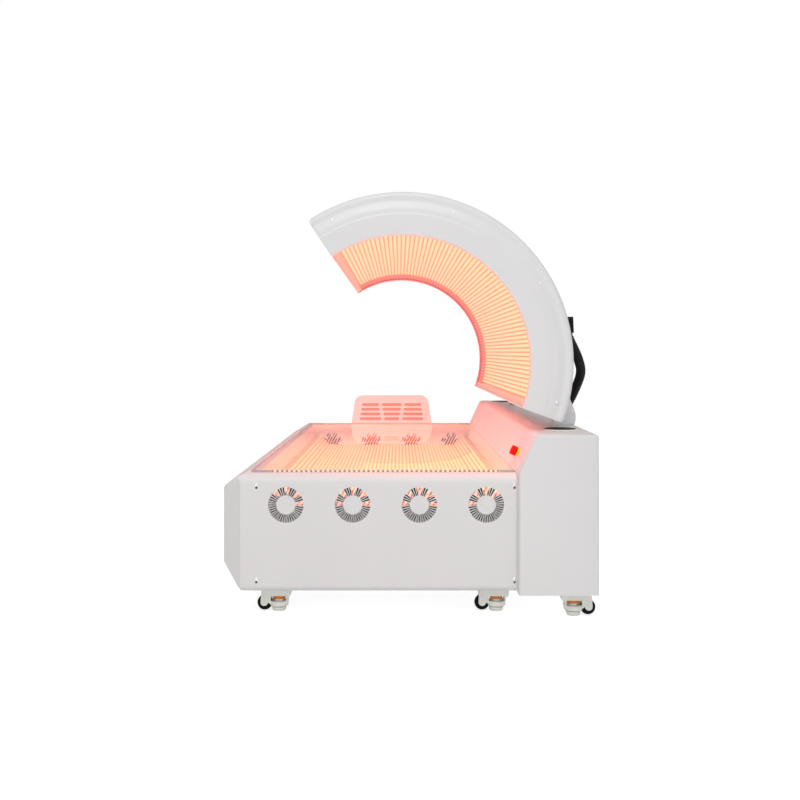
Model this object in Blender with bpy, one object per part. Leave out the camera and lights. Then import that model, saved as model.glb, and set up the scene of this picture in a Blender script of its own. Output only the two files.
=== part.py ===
"""Red light therapy bed with a hinged arch canopy, on six levelling castors.

Metres, +Z up. The bed's length runs along Y, with the foot end at -Y. People lie down from the -X
side, and the hinge cabinet stands along +X. The canopy is modelled open, as it waits for a user.
"""
import math

import bmesh
import bpy
from mathutils import Matrix, Vector

# Fits
CLEAR = 0.0003
SHEET = 0.004

# Overall plan
BASE_LENGTH = 2.040
CABINET_PROUD = 0.055
CABINET_SHORT = 0.035
HALF_WIDTH = 0.600
FOOT_FACE = (CABINET_PROUD - BASE_LENGTH) / 2
HEAD_FACE = FOOT_FACE + BASE_LENGTH
CABINET_FOOT = FOOT_FACE - CABINET_PROUD
CABINET_HEAD = HEAD_FACE - CABINET_SHORT

# Heights
CASTOR_HEIGHT = 0.086
PAD_THICK = 0.004
CHASSIS_DEPTH = 0.020
SKIRT_DROP = 0.004
BED_TOP = 0.468
ACRYLIC = 0.008
CABINET_TOP = 0.589
SKIRT_Z = CASTOR_HEIGHT - SKIRT_DROP
CHASSIS_Z = CASTOR_HEIGHT + PAD_THICK
RIM_Z = BED_TOP - ACRYLIC - CLEAR

# Entry-side fascia, from its lip at the clear sheet down to its toe
SHOULDER_RUN = 0.086
LIP_WIDTH = 0.0057
SHOULDER_DROP = 0.052
KNEE_Z = 0.168
TOE_IN = 0.055
TOE_RISE = 0.012
SKIRT_IN = 0.090
FASCIA_ROUND = 0.018
CHAMFER_X = 0.061
CHAMFER_Y = 0.050
LIP_X = -HALF_WIDTH + SHOULDER_RUN
TOE_X = -HALF_WIDTH + TOE_IN
SKIRT_X = -HALF_WIDTH + SKIRT_IN

# Tub between the fascia's lip and the cabinet
CABINET_DEPTH = 0.2525
TUB_SHIFT = 0.01195
TUB_BORDER = 0.01625
TUB_FLARE = 0.0165
TUB_END = 0.050
TUB_WALL = 0.003
TUB_FLOOR_Z = 0.285
LEDGE_Z = 0.4002
LEDGE_WIDTH = 0.008
CABINET_X = HALF_WIDTH - CABINET_DEPTH
TUB_X = (LIP_X + CABINET_X) / 2 + TUB_SHIFT
TUB_HALF_RIM = (CABINET_X - LIP_X) / 2 - TUB_BORDER
TUB_HALF_LEDGE = TUB_HALF_RIM - TUB_FLARE

# End panels and their fans
PANEL_TOP_ROUND = 0.035
PANEL_FOOT_ROUND = 0.020
END_RIM = 0.037
FAN_COUNT = 4
FAN_MARGIN = 0.0773
FAN_Z = 0.360
GRILLE_OUTER = 0.0575
GRILLE_INNER = 0.030
GRILLE_SLOTS = 16
SLOT_WIDTH = 0.0036
FAN_BOSS_RADIUS = 0.020
FAN_BOSS_DEPTH = 0.008
ROTOR_HUB = 0.0255
ROTOR_TIP = 0.0545
ROTOR_DEPTH = 0.020
BLADE_COUNT = 8
BLADE_THICK = 0.0022
BLADE_PITCH = math.radians(48)
FAN_REACH = TUB_HALF_LEDGE - FAN_MARGIN
FAN_FIRST_X = TUB_X - FAN_REACH
FAN_PITCH = 2 * FAN_REACH / (FAN_COUNT - 1)

# Lamp rack on the tub's ledge, with as many bars as fit its floor and its slopes
RACK_SHEET = 0.003
RACK_SEAT = 0.0095
RACK_SLOPE = 0.054
LAMP_HEIGHT = 0.010
LAMP_WIDTH = 0.0115
LAMP_PITCH = 0.0198
SIDE_LAMP_PITCH = 0.0180
RACK_HALF_FLAT = TUB_HALF_LEDGE - RACK_SEAT - RACK_SLOPE
LAMP_COUNT = int(2 * RACK_HALF_FLAT / LAMP_PITCH)
SIDE_LAMP_COUNT = int(math.hypot(RACK_SLOPE, RACK_SLOPE) / SIDE_LAMP_PITCH)

# Hinge cabinet
SLOPE_RUN = 0.0555
SERVICE_MARGIN = 0.030
LOUVRE_COUNT = 6
LOUVRE_LENGTH = 0.260
LOUVRE_HEIGHT = 0.005
LOUVRE_PITCH = 0.018
SPEAKER_BACK = 0.092
SPEAKER_INSET = 0.190
SPEAKER_RADIUS = 0.060
SPEAKER_RIM = 0.006
SPEAKER_HEIGHT = 0.007
STOP_INSET = 0.1825
STOP_UP_SLOPE = 0.38
STOP_COLLAR = 0.0145
STOP_COLLAR_THICK = 0.007
STOP_CAP = 0.0160
STOP_STEM = 0.0100
STOP_RISE = 0.0118
STOP_CAP_HEIGHT = 0.016
SPEAKER_X = HALF_WIDTH - SPEAKER_BACK

# Canopy, seen along the bed: a ring sector about ARCH, turning about HINGE, which lies just outside
# the sector's lower back corner
HINGE_BACK = 0.078
HINGE_UP = 0.028
HINGE_OUT = 0.015651343
HINGE_RISE = 0.000945913
ARCH_OUTER = 0.560
ARCH_INNER = 0.4175
ARCH_LOW = math.radians(-20.7)
ARCH_HIGH = math.radians(123.8)
ARCH_STEPS = 28
CANOPY_INSET = 0.045
PLATE_DEPTH = 0.030
PLATE_STEP = 0.006
PLATE_STEP_RADIUS = 0.487
PLATE_ROUND = 0.020
SHELL_WALL = 0.005
COVER_THICK = 0.004
LAMP_RECESS = 0.030
CANOPY_LAMPS = 66
CANOPY_LAMP_PITCH = math.radians(2.05)
CANOPY_LAMP_WIDTH = math.radians(1.25)
TRAY_WALL = 0.003
HINGE_X = HALF_WIDTH - HINGE_BACK
HINGE_Z = CABINET_TOP + HINGE_UP
ARCH_DX = -ARCH_OUTER * math.cos(ARCH_LOW) - HINGE_OUT
ARCH_DZ = -ARCH_OUTER * math.sin(ARCH_LOW) - HINGE_RISE
ARCH_X = HINGE_X + ARCH_DX
ARCH_Z = HINGE_Z + ARCH_DZ
CANOPY_FOOT = FOOT_FACE + CANOPY_INSET
CANOPY_HEAD = HEAD_FACE - CANOPY_INSET

# Hinges
LUG_RADIUS = 0.0775
LUG_TAPER = math.radians(22)
LUG_THICK = 0.014
LUG_INSET = 0.3875
LUG_TOP = 0.073
ARM_THICK = 0.024
ARM_EYE = 0.0130
ARM_SADDLE_HIGH = math.radians(-11)
PIN_RADIUS = 0.0055
PIN_FIT = 0.00035
PIN_HEAD = 0.0085
PIN_HEAD_THICK = 0.004

# Cable conduit, from the gland box on the canopy to the gland on the cabinet. Its points are given
# from the hinge axis at the face of the foot lug.
CONDUIT_RADIUS = 0.0172
CONDUIT_ROOT = 0.0150
CONDUIT_BORE = 0.0120
CONDUIT_RIB = 0.0090
CONDUIT_SPLAY = math.radians(24)
CONDUIT_START = (0.0340, -0.0800, 0.2910)
CONDUIT_WAY = [
    (0.0800, -0.0380, 0.2030),
    (0.0945, 0.0040, 0.1530),
    (0.0760, 0.0520, 0.0790),
]
CONDUIT_END = (0.0530, 0.0750, -0.0110)
GLAND_RADIUS = 0.0215
GLAND_BOX_WIDE = 0.050
GLAND_BOX_DEEP = 0.038
GLAND_BOX_RISE = 0.063
GLAND_BOX_OUT = 0.0148

# Headrest
REST_SHIFT = 0.0006
REST_INSET = 0.048
REST_BOTTOM = 0.431
REST_TOP = 0.385
REST_HEIGHT = 0.150
REST_THICK = 0.006
REST_ROUND = 0.032
REST_LEAN = math.radians(8)
REST_FOOT = 0.070
REST_ROWS = 4
REST_ROW_PITCH = 0.0252
REST_FIRST_ROW = 0.0237
REST_SLOT = 0.0150
REST_X = TUB_X + REST_SHIFT

# Levelling castors: the wheel stands beside the foot, and both hang on the housing
CASTOR_INSET = 0.090
CASTOR_ENTRY_IN = 0.1755
CASTOR_MIDDLE_IN = 0.0575
CASTOR_CABINET_IN = 0.0664
CASTOR_PAD = 0.078
WHEEL_RADIUS = 0.0246
WHEEL_WIDTH = 0.021
WHEEL_OFFSET = 0.047
WHEEL_LIFT = 0.0015
WHEEL_ROOM = 0.0014
AXLE_BOSS = 0.0126
AXLE_RADIUS = 0.004
HOUSING_HALF = 0.0220
HOUSING_RIGHT = 0.0395
RING_RADIUS = 0.030
RING_LOW = 0.0172
RING_HIGH = 0.0325
WINDOW_TOP = 0.0500
WINDOW_HALF = 0.0255
THUMB_RADIUS = 0.0211
THUMB_HUB = 0.0145
THUMB_SPLIT = 0.0400
STEM_RADIUS = 0.0070
STEM_TOP = 0.070
BORE_RADIUS = 0.0085
FOOT_PAD_TOP = 0.0235
FOOT_PAD_LOW = 0.0205
FOOT_PAD_HEIGHT = 0.0135
CASTOR_ENTRY_X = -HALF_WIDTH + CASTOR_ENTRY_IN
CASTOR_MIDDLE_X = CABINET_X - CASTOR_MIDDLE_IN
CASTOR_CABINET_X = HALF_WIDTH - CASTOR_CABINET_IN


def finish(name, color, roughness, metallic=0.0):
    """A plain Principled material."""
    material = bpy.data.materials.new(name)
    material.use_nodes = True
    shader = material.node_tree.nodes["Principled BSDF"]
    shader.inputs["Base Color"].default_value = (*color, 1.0)
    shader.inputs["Roughness"].default_value = roughness
    shader.inputs["Metallic"].default_value = metallic
    material.diffuse_color = (*color, 1.0)
    return material


def arc(centre, radius, start, end, steps):
    """Points on a circular arc, ends included, with angles in radians."""
    spread = (end - start) / steps
    angles = [start + spread * step for step in range(steps + 1)]
    return [(centre[0] + radius * math.cos(a), centre[1] + radius * math.sin(a)) for a in angles]


def rounded(points, radius, steps=3):
    """An open outline with its inner corners rounded."""
    outline = [points[0]]
    for before, corner, after in zip(points, points[1:], points[2:]):
        corner = Vector(corner)
        back = (Vector(before) - corner).normalized()
        on = (Vector(after) - corner).normalized()
        half = back.angle(on) / 2
        reach = radius / math.tan(half)
        centre = corner + (back + on).normalized() * radius / math.sin(half)
        first = corner + back * reach - centre
        last = corner + on * reach - centre
        for step in range(steps + 1):
            outline.append(tuple(centre + first.slerp(last, step / steps) * radius))
    outline.append(points[-1])
    return outline


def offset(points, distance):
    """An open outline moved sideways, to its left, by a wall's thickness."""
    moved = []
    for index, point in enumerate(points):
        before = Vector(points[max(index - 1, 0)])
        after = Vector(points[min(index + 1, len(points) - 1)])
        here = Vector(point)
        sides = [run.normalized() for run in (here - before, after - here) if run.length > 0]
        normals = [Vector((-side.y, side.x)) for side in sides]
        mean = sum(normals, Vector((0, 0))).normalized()
        moved.append(tuple(here + mean * distance / mean.dot(normals[0])))
    return moved


def prism(outline, start, end, axis):
    """A closed outline swept straight along an axis, as a bmesh."""
    place = {
        "X": lambda a, b, t: (t, a, b),
        "Y": lambda a, b, t: (a, t, b),
        "Z": lambda a, b, t: (a, b, t),
    }[axis]
    bm = bmesh.new()
    face = bm.faces.new([bm.verts.new(place(a, b, start)) for a, b in outline])
    swept = bmesh.ops.extrude_face_region(bm, geom=[face])
    moved = [item for item in swept["geom"] if isinstance(item, bmesh.types.BMVert)]
    bmesh.ops.translate(bm, verts=moved, vec=place(0, 0, end - start))
    return bm


def box(low, high):
    """An upright box between two corners, as a bmesh."""
    outline = [(low[0], low[1]), (high[0], low[1]), (high[0], high[1]), (low[0], high[1])]
    return prism(outline, low[2], high[2], "Z")


def turned(profile, steps):
    """A (radius, height) profile turned about the Z axis; a closed ring repeats its first point."""
    bm = bmesh.new()
    verts = [bm.verts.new((radius, 0, height)) for radius, height in profile]
    edges = [bm.edges.new(pair) for pair in zip(verts, verts[1:])]
    bmesh.ops.spin(bm, geom=verts + edges, cent=(0, 0, 0), axis=(0, 0, 1), angle=math.tau,
                   steps=steps, use_merge=True)
    bmesh.ops.remove_doubles(bm, verts=bm.verts, dist=1e-6)
    return bm


def rod(radius, low, high, steps):
    """A round bar along Z."""
    return turned([(0, low), (radius, low), (radius, high), (0, high)], steps)


def together(shapes):
    """Several shapes in one bmesh, still as separate bodies."""
    whole = bmesh.new()
    for shape in shapes:
        mesh = bpy.data.meshes.new("part of a group")
        bmesh.ops.recalc_face_normals(shape, faces=shape.faces)
        shape.to_mesh(mesh)
        shape.free()
        whole.from_mesh(mesh)
        bpy.data.meshes.remove(mesh)
    return whole


def placed(shape, matrix):
    """The same shape after a move."""
    bmesh.ops.transform(shape, matrix=matrix, verts=shape.verts)
    return shape


def along_y(shape, y):
    """A shape turned from the Z axis to the Y axis, with its base at y."""
    return placed(shape, Matrix.Translation((0, y, 0)) @ Matrix.Rotation(-math.pi / 2, 4, "X"))


def to_mesh(shape, name):
    """A mesh with its faces pointing out and its round faces smooth."""
    bmesh.ops.recalc_face_normals(shape, faces=shape.faces)
    mesh = bpy.data.meshes.new(name)
    shape.to_mesh(mesh)
    shape.free()
    return mesh


def solid(base, joined=(), cut=(), kept=()):
    """A mesh made from a base shape, shapes joined to it, cut from it, or keeping what they share."""
    body = bpy.data.objects.new("body", to_mesh(base, "body"))
    bpy.context.collection.objects.link(body)
    tools = []
    for operation, shapes in (("UNION", joined), ("DIFFERENCE", cut), ("INTERSECT", kept)):
        for shape in shapes:
            tool = bpy.data.objects.new("tool", to_mesh(shape, "tool"))
            bpy.context.collection.objects.link(tool)
            tool.hide_render = True
            tool.display_type = "WIRE"
            tools.append(tool)
            step = body.modifiers.new(operation, "BOOLEAN")
            step.operation = operation
            step.object = tool
    graph = bpy.context.evaluated_depsgraph_get()
    mesh = bpy.data.meshes.new_from_object(body.evaluated_get(graph))
    for used in [body] + tools:
        bpy.data.objects.remove(used, do_unlink=True)
    return mesh


def piece(name, mesh, material, parent=None, location=(0, 0, 0), turn=None):
    """A named object for one sub-part. Its place is relative to its parent."""
    if isinstance(mesh, bmesh.types.BMesh):
        mesh = to_mesh(mesh, name)
    mesh.materials.clear()
    mesh.materials.append(material)
    mesh.shade_smooth()
    mesh.set_sharp_from_angle(angle=math.radians(32))
    made = bpy.data.objects.new(name, mesh)
    bpy.context.collection.objects.link(made)
    made.parent = parent
    made.location = location
    if turn is not None:
        made.rotation_euler = turn
    return made


def pivot(name, location, parent=None, turn=(0, 0, 0)):
    """An empty on a joint's axis."""
    empty = bpy.data.objects.new(name, None)
    bpy.context.collection.objects.link(empty)
    empty.parent = parent
    empty.location = location
    empty.rotation_euler = turn
    return empty


for old in list(bpy.data.objects):
    bpy.data.objects.remove(old, do_unlink=True)

WHITE = finish("white enamel", (0.74, 0.74, 0.74), 0.45)
GREY = finish("castor grey", (0.40, 0.41, 0.36), 0.5)
BLACK = finish("black rubber", (0.012, 0.012, 0.012), 0.6)
ORANGE = finish("orange plastic", (0.72, 0.17, 0.03), 0.4)
RED = finish("red plastic", (0.70, 0.03, 0.02), 0.35)
YELLOW = finish("yellow plastic", (0.85, 0.55, 0.04), 0.4)
CLEAR_SHEET = finish("clear acrylic", (0.90, 0.62, 0.55), 0.1)
LAMP = finish("lamp glow", (1.00, 0.76, 0.42), 0.4)
LINER = finish("tub liner", (0.90, 0.62, 0.52), 0.5)
STEEL = finish("zinc steel", (0.55, 0.55, 0.56), 0.35, 1.0)


# Entry-side fascia: a hollow moulding whose ends are cut back at the corners
FASCIA_PATH = rounded([
    (LIP_X + LIP_WIDTH, BED_TOP),
    (LIP_X, BED_TOP),
    (-HALF_WIDTH, BED_TOP - SHOULDER_DROP),
    (-HALF_WIDTH, KNEE_Z),
    (TOE_X, SKIRT_Z + TOE_RISE),
    (SKIRT_X, SKIRT_Z),
], FASCIA_ROUND)
FASCIA_INNER = offset(FASCIA_PATH, SHEET)
CHAMFER_IN_X = -HALF_WIDTH + CHAMFER_X
BEYOND = 0.080


def end_skin(sign, face, inset):
    """An end panel's skin from its rounded foot to its rounded top, moved in, as (y, z) points."""
    low = (face + sign * PANEL_FOOT_ROUND, SKIRT_Z + PANEL_FOOT_ROUND)
    high = (face + sign * PANEL_TOP_ROUND, RIM_Z - PANEL_TOP_ROUND)
    foot = arc((0, low[1]), PANEL_FOOT_ROUND - inset, 1.5 * math.pi, math.pi, 4)
    top = arc((0, high[1]), PANEL_TOP_ROUND - inset, math.pi, math.pi / 2, 6)
    return [(low[0] + sign * y, z) for y, z in foot] + [(high[0] + sign * y, z) for y, z in top]


def end_outside(sign, face, inset):
    """What lies outside an end panel's skin, moved in by an inset, as (y, z) points."""
    skin = end_skin(sign, face, inset)
    far = face - sign * BEYOND
    rim = face + sign * (END_RIM + CLEAR)
    below, above = SKIRT_Z - BEYOND, BED_TOP + BEYOND
    foot = [(far, below), (skin[0][0], below)]
    return foot + skin + [(rim, skin[-1][1]), (rim, above), (far, above)]


def corner_wedge(sign, face, inset):
    """What the slanted corner in plan takes away, moved in by a wall, as (x, y) points."""
    slant = math.hypot(CHAMFER_X, CHAMFER_Y)
    run = Vector((CHAMFER_X / slant, CHAMFER_Y / slant))
    shift = Vector((run.y, run.x)) * inset
    far = Vector((CHAMFER_IN_X, 0)) + Vector((run.x, -run.y)) * BEYOND + shift
    near = Vector((-HALF_WIDTH, CHAMFER_Y)) + Vector((-run.x, run.y)) * BEYOND + shift
    outline = [far, near, Vector((near.x, far.y))]
    return [(point.x, face + sign * point.y) for point in outline]


def fascia():
    ends = ((1, FOOT_FACE), (-1, HEAD_FACE))
    span = (FOOT_FACE, HEAD_FACE)
    side = (-HALF_WIDTH - BEYOND, LIP_X + BEYOND)
    tall = (SKIRT_Z - BEYOND, BED_TOP + BEYOND)
    outer = prism(FASCIA_PATH, *span, "Y")
    opening = [(0, FASCIA_INNER[0][1]), *FASCIA_INNER, (0, FASCIA_INNER[-1][1])]
    hollow_cuts = [prism(corner_wedge(s, f, SHEET), *tall, "Z") for s, f in ends]
    hollow_cuts += [prism(end_outside(s, f, SHEET), *side, "X") for s, f in ends]
    hollow = solid(prism(opening, *span, "Y"), cut=hollow_cuts)
    room = bmesh.new()
    room.from_mesh(hollow)
    behind_panel = (CHAMFER_IN_X - CLEAR, LIP_X + BEYOND)
    cuts = [prism(corner_wedge(s, f, 0), *tall, "Z") for s, f in ends]
    cuts += [prism(end_outside(s, f, 0), *side, "X") for s, f in ends]
    cuts += [prism(end_outside(s, f, SHEET + CLEAR), *behind_panel, "X") for s, f in ends]
    piece("front_fascia", solid(outer, cut=cuts + [room]), WHITE)


def end_panel_outline(sign, face):
    """The panel's sheet in (y, z): rounded back at its top and at its foot."""
    rim = face + sign * END_RIM
    outer = end_skin(sign, face, 0) + [(rim, RIM_Z)]
    inner = end_skin(sign, face, SHEET) + [(rim, RIM_Z - SHEET)]
    return outer + inner[::-1]


def fan_places():
    return [FAN_FIRST_X + FAN_PITCH * index for index in range(FAN_COUNT)]


def grille_slots(x, low_y, high_y):
    """Radial slots of one fan grille, as separate prisms along Y."""
    slots = []
    for index in range(GRILLE_SLOTS):
        angle = math.tau * index / GRILLE_SLOTS
        along = Vector((math.cos(angle), math.sin(angle)))
        across = Vector((-along.y, along.x)) * SLOT_WIDTH / 2
        inner = along * GRILLE_INNER
        outer = along * GRILLE_OUTER
        corners = [inner - across, outer - across, outer + across, inner + across]
        outline = [(x + corner.x, FAN_Z + corner.y) for corner in corners]
        slots.append(prism(outline, low_y, high_y, "Y"))
    return slots


def base_section():
    """The bed's whole cross-section left of the cabinet, as (x, z) points."""
    return FASCIA_PATH[1:] + [(CABINET_X - CLEAR, SKIRT_Z), (CABINET_X - CLEAR, BED_TOP)]


def end_panel(name, sign, face):
    sheet = prism(end_panel_outline(sign, face), CHAMFER_IN_X, CABINET_X - CLEAR, "X")
    inner = face + sign * SHEET
    bosses = []
    slots = []
    for x in fan_places():
        boss = rod(FAN_BOSS_RADIUS, -0.5 * SHEET, FAN_BOSS_DEPTH, 16)
        turn = Matrix.Rotation(-sign * math.pi / 2, 4, "X")
        bosses.append(placed(boss, Matrix.Translation((x, inner, FAN_Z)) @ turn))
        slots += grille_slots(x, face - sign * BEYOND, inner + sign * FAN_BOSS_DEPTH)
    section = prism(base_section(), FOOT_FACE - BEYOND, HEAD_FACE + BEYOND, "Y")
    mesh = solid(sheet, joined=[together(bosses)], cut=[together(slots)], kept=[section])
    piece(name, mesh, WHITE)


def rotor_mesh():
    """A fan rotor about Z: a hub with flat pitched blades, standing on z = 0."""
    blades = []
    for index in range(BLADE_COUNT):
        half = ROTOR_DEPTH * 0.42 / math.cos(BLADE_PITCH)
        blade = box((ROTOR_HUB - 0.004, -BLADE_THICK / 2, -half), (ROTOR_TIP, BLADE_THICK / 2, half))
        pitch = Matrix.Rotation(BLADE_PITCH, 4, "X")
        lift = Matrix.Translation((0, 0, ROTOR_DEPTH / 2))
        round_hub = Matrix.Rotation(math.tau * (index + 0.5) / BLADE_COUNT, 4, "Z")
        blades.append(placed(blade, round_hub @ lift @ pitch))
    return solid(rod(ROTOR_HUB, 0, ROTOR_DEPTH, 14), joined=[together(blades)])


def fans():
    mesh = rotor_mesh()
    gap = SHEET + FAN_BOSS_DEPTH + CLEAR
    for end, sign, face in (("foot", 1, FOOT_FACE), ("head", -1, HEAD_FACE)):
        for index, x in enumerate(fan_places(), start=1):
            turn = (-sign * math.pi / 2, 0, 0)
            place = (x, face + sign * gap, FAN_Z)
            piece(f"fan_rotor_{end}_{index}", mesh, BLACK, location=place, turn=turn)


# Tub, lamps and clear sheet
def tub_section(wall, low, high):
    """The tub's section moved out by a wall: straight up to the lamp ledge, then flaring to the rim."""
    ledge, rim = TUB_HALF_LEDGE + wall, TUB_HALF_RIM + wall
    right = [(ledge, low), (ledge, LEDGE_Z), (rim, high)]
    if low == LEDGE_Z:
        right = right[1:]
    left = [(-x, z) for x, z in right[::-1]]
    return [(TUB_X + x, z) for x, z in right + left]


def tub_liner():
    """A tub with a rim that carries the clear sheet, a ledge for the lamps and holes for the fans."""
    low_y, high_y = FOOT_FACE + END_RIM + CLEAR, HEAD_FACE - END_RIM - CLEAR
    inner_y = (FOOT_FACE + TUB_END, HEAD_FACE - TUB_END)
    entry_edge = LIP_X + LIP_WIDTH + CLEAR
    flange = box((entry_edge, low_y, RIM_Z - TUB_WALL), (CABINET_X - CLEAR, high_y, RIM_Z))
    outside = tub_section(TUB_WALL, TUB_FLOOR_Z - TUB_WALL, RIM_Z)
    tub = prism(outside, inner_y[0] - TUB_WALL, inner_y[1] + TUB_WALL, "Y")
    upper = prism(tub_section(0, LEDGE_Z, RIM_Z + CLEAR), *inner_y, "Y")
    lower_half = TUB_HALF_LEDGE - LEDGE_WIDTH
    lower = box((TUB_X - lower_half, inner_y[0], TUB_FLOOR_Z),
                (TUB_X + lower_half, inner_y[1], LEDGE_Z + TUB_WALL))
    holes = []
    for x in fan_places():
        for face in (FOOT_FACE, HEAD_FACE):
            hole = along_y(rod(GRILLE_OUTER, -BEYOND, BEYOND, 20), face)
            holes.append(placed(hole, Matrix.Translation((x, 0, FAN_Z))))
    mesh = solid(flange, joined=[tub], cut=[upper, lower, together(holes)])
    piece("tub_liner", mesh, LINER)


def comb(start, end, count, pitch):
    """The upper side of a lamp board from start to end, with lamp bars standing on it."""
    start, end = Vector(start), Vector(end)
    along = (end - start).normalized()
    up = Vector((-along.y, along.x)) * LAMP_HEIGHT
    outline = [tuple(start)]
    for index in range(count):
        centre = (start + end) / 2 + along * pitch * (index - (count - 1) / 2)
        left, right = centre - along * LAMP_WIDTH / 2, centre + along * LAMP_WIDTH / 2
        outline += [tuple(left), tuple(left + up), tuple(right + up), tuple(right)]
    return outline


def bed_lamp_rack():
    """A bent sheet with a flat floor and two sloping sides, and lamp bars along it."""
    low_z = LEDGE_Z + CLEAR
    edge = TUB_HALF_LEDGE - CLEAR
    bend = RACK_HALF_FLAT + RACK_SLOPE
    floor_z = low_z - RACK_SLOPE
    under = [(-edge, low_z), (-bend, low_z), (-RACK_HALF_FLAT, floor_z), (RACK_HALF_FLAT, floor_z),
             (bend, low_z), (edge, low_z)]
    top = offset(under, RACK_SHEET)
    outline = [top[0]]
    outline += comb(top[1], top[2], SIDE_LAMP_COUNT, SIDE_LAMP_PITCH)
    outline += comb(top[2], top[3], LAMP_COUNT, LAMP_PITCH)
    outline += comb(top[3], top[4], SIDE_LAMP_COUNT, SIDE_LAMP_PITCH)
    outline += top[4:] + under[::-1]
    span = (FOOT_FACE + TUB_END + CLEAR, HEAD_FACE - TUB_END - CLEAR)
    piece("bed_lamp_rack", prism([(TUB_X + x, z) for x, z in outline], *span, "Y"), LAMP)


def bed_acrylic_sheet():
    low = (LIP_X + LIP_WIDTH + CLEAR, FOOT_FACE + END_RIM + CLEAR, BED_TOP - ACRYLIC)
    high = (CABINET_X - CLEAR, HEAD_FACE - END_RIM - CLEAR, BED_TOP)
    piece("bed_acrylic_sheet", box(low, high), CLEAR_SHEET)


# Floor pan with a pad over each castor
def castor_places():
    """Name, x, y and the direction of the wheel at rest, for each castor."""
    rows = []
    for end, sign, base, cabinet in (("foot", 1, FOOT_FACE, CABINET_FOOT),
                                     ("head", -1, HEAD_FACE, CABINET_HEAD)):
        rows.append((f"castor_{end}_entry", CASTOR_ENTRY_X, base + sign * CASTOR_INSET, 0.0))
        rows.append((f"castor_{end}_middle", CASTOR_MIDDLE_X, base + sign * CASTOR_INSET, 0.0))
        rows.append((f"castor_{end}_cabinet", CASTOR_CABINET_X, cabinet + sign * CASTOR_INSET, math.pi))
    return rows


def chassis_tray():
    left = SKIRT_X + CLEAR
    wall = SHEET + CLEAR
    inside_x = CABINET_X + wall
    foot_y = FOOT_FACE + PANEL_FOOT_ROUND + CLEAR
    head_y = HEAD_FACE - PANEL_FOOT_ROUND - CLEAR
    outline = [
        (left, foot_y),
        (inside_x, foot_y),
        (inside_x, CABINET_FOOT + wall),
        (HALF_WIDTH - wall, CABINET_FOOT + wall),
        (HALF_WIDTH - wall, CABINET_HEAD - wall),
        (CABINET_X - CLEAR, CABINET_HEAD - wall),
        (CABINET_X - CLEAR, head_y),
        (left, head_y),
    ]
    pan = prism(outline, CHASSIS_Z, CHASSIS_Z + CHASSIS_DEPTH, "Z")
    top = max(pan.faces, key=lambda face: face.calc_center_median().z)
    bmesh.ops.inset_region(pan, faces=[top], thickness=SHEET, use_even_offset=True)
    bmesh.ops.translate(pan, verts=top.verts, vec=(0, 0, SHEET - CHASSIS_DEPTH))
    half = CASTOR_PAD / 2
    pads = [box((x - half, y - half, CASTOR_HEIGHT), (x + half, y + half, CHASSIS_Z + SHEET / 2))
            for _, x, y, _ in castor_places()]
    piece("chassis_tray", solid(pan, joined=[together(pads)]), STEEL)


# Hinge cabinet
def slope_frame():
    """A frame on the cabinet's slope: Z out of the face, at the emergency stop."""
    up = Vector((SLOPE_RUN, 0, CABINET_TOP - BED_TOP))
    out = Vector((-up.z, 0, up.x)).normalized()
    centre = Vector((CABINET_X, CABINET_FOOT + STOP_INSET, BED_TOP)) + up * STOP_UP_SLOPE
    across = Vector((0, 1, 0))
    frame = Matrix((across.cross(out), across, out)).transposed().to_4x4()
    return Matrix.Translation(centre) @ frame


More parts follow.
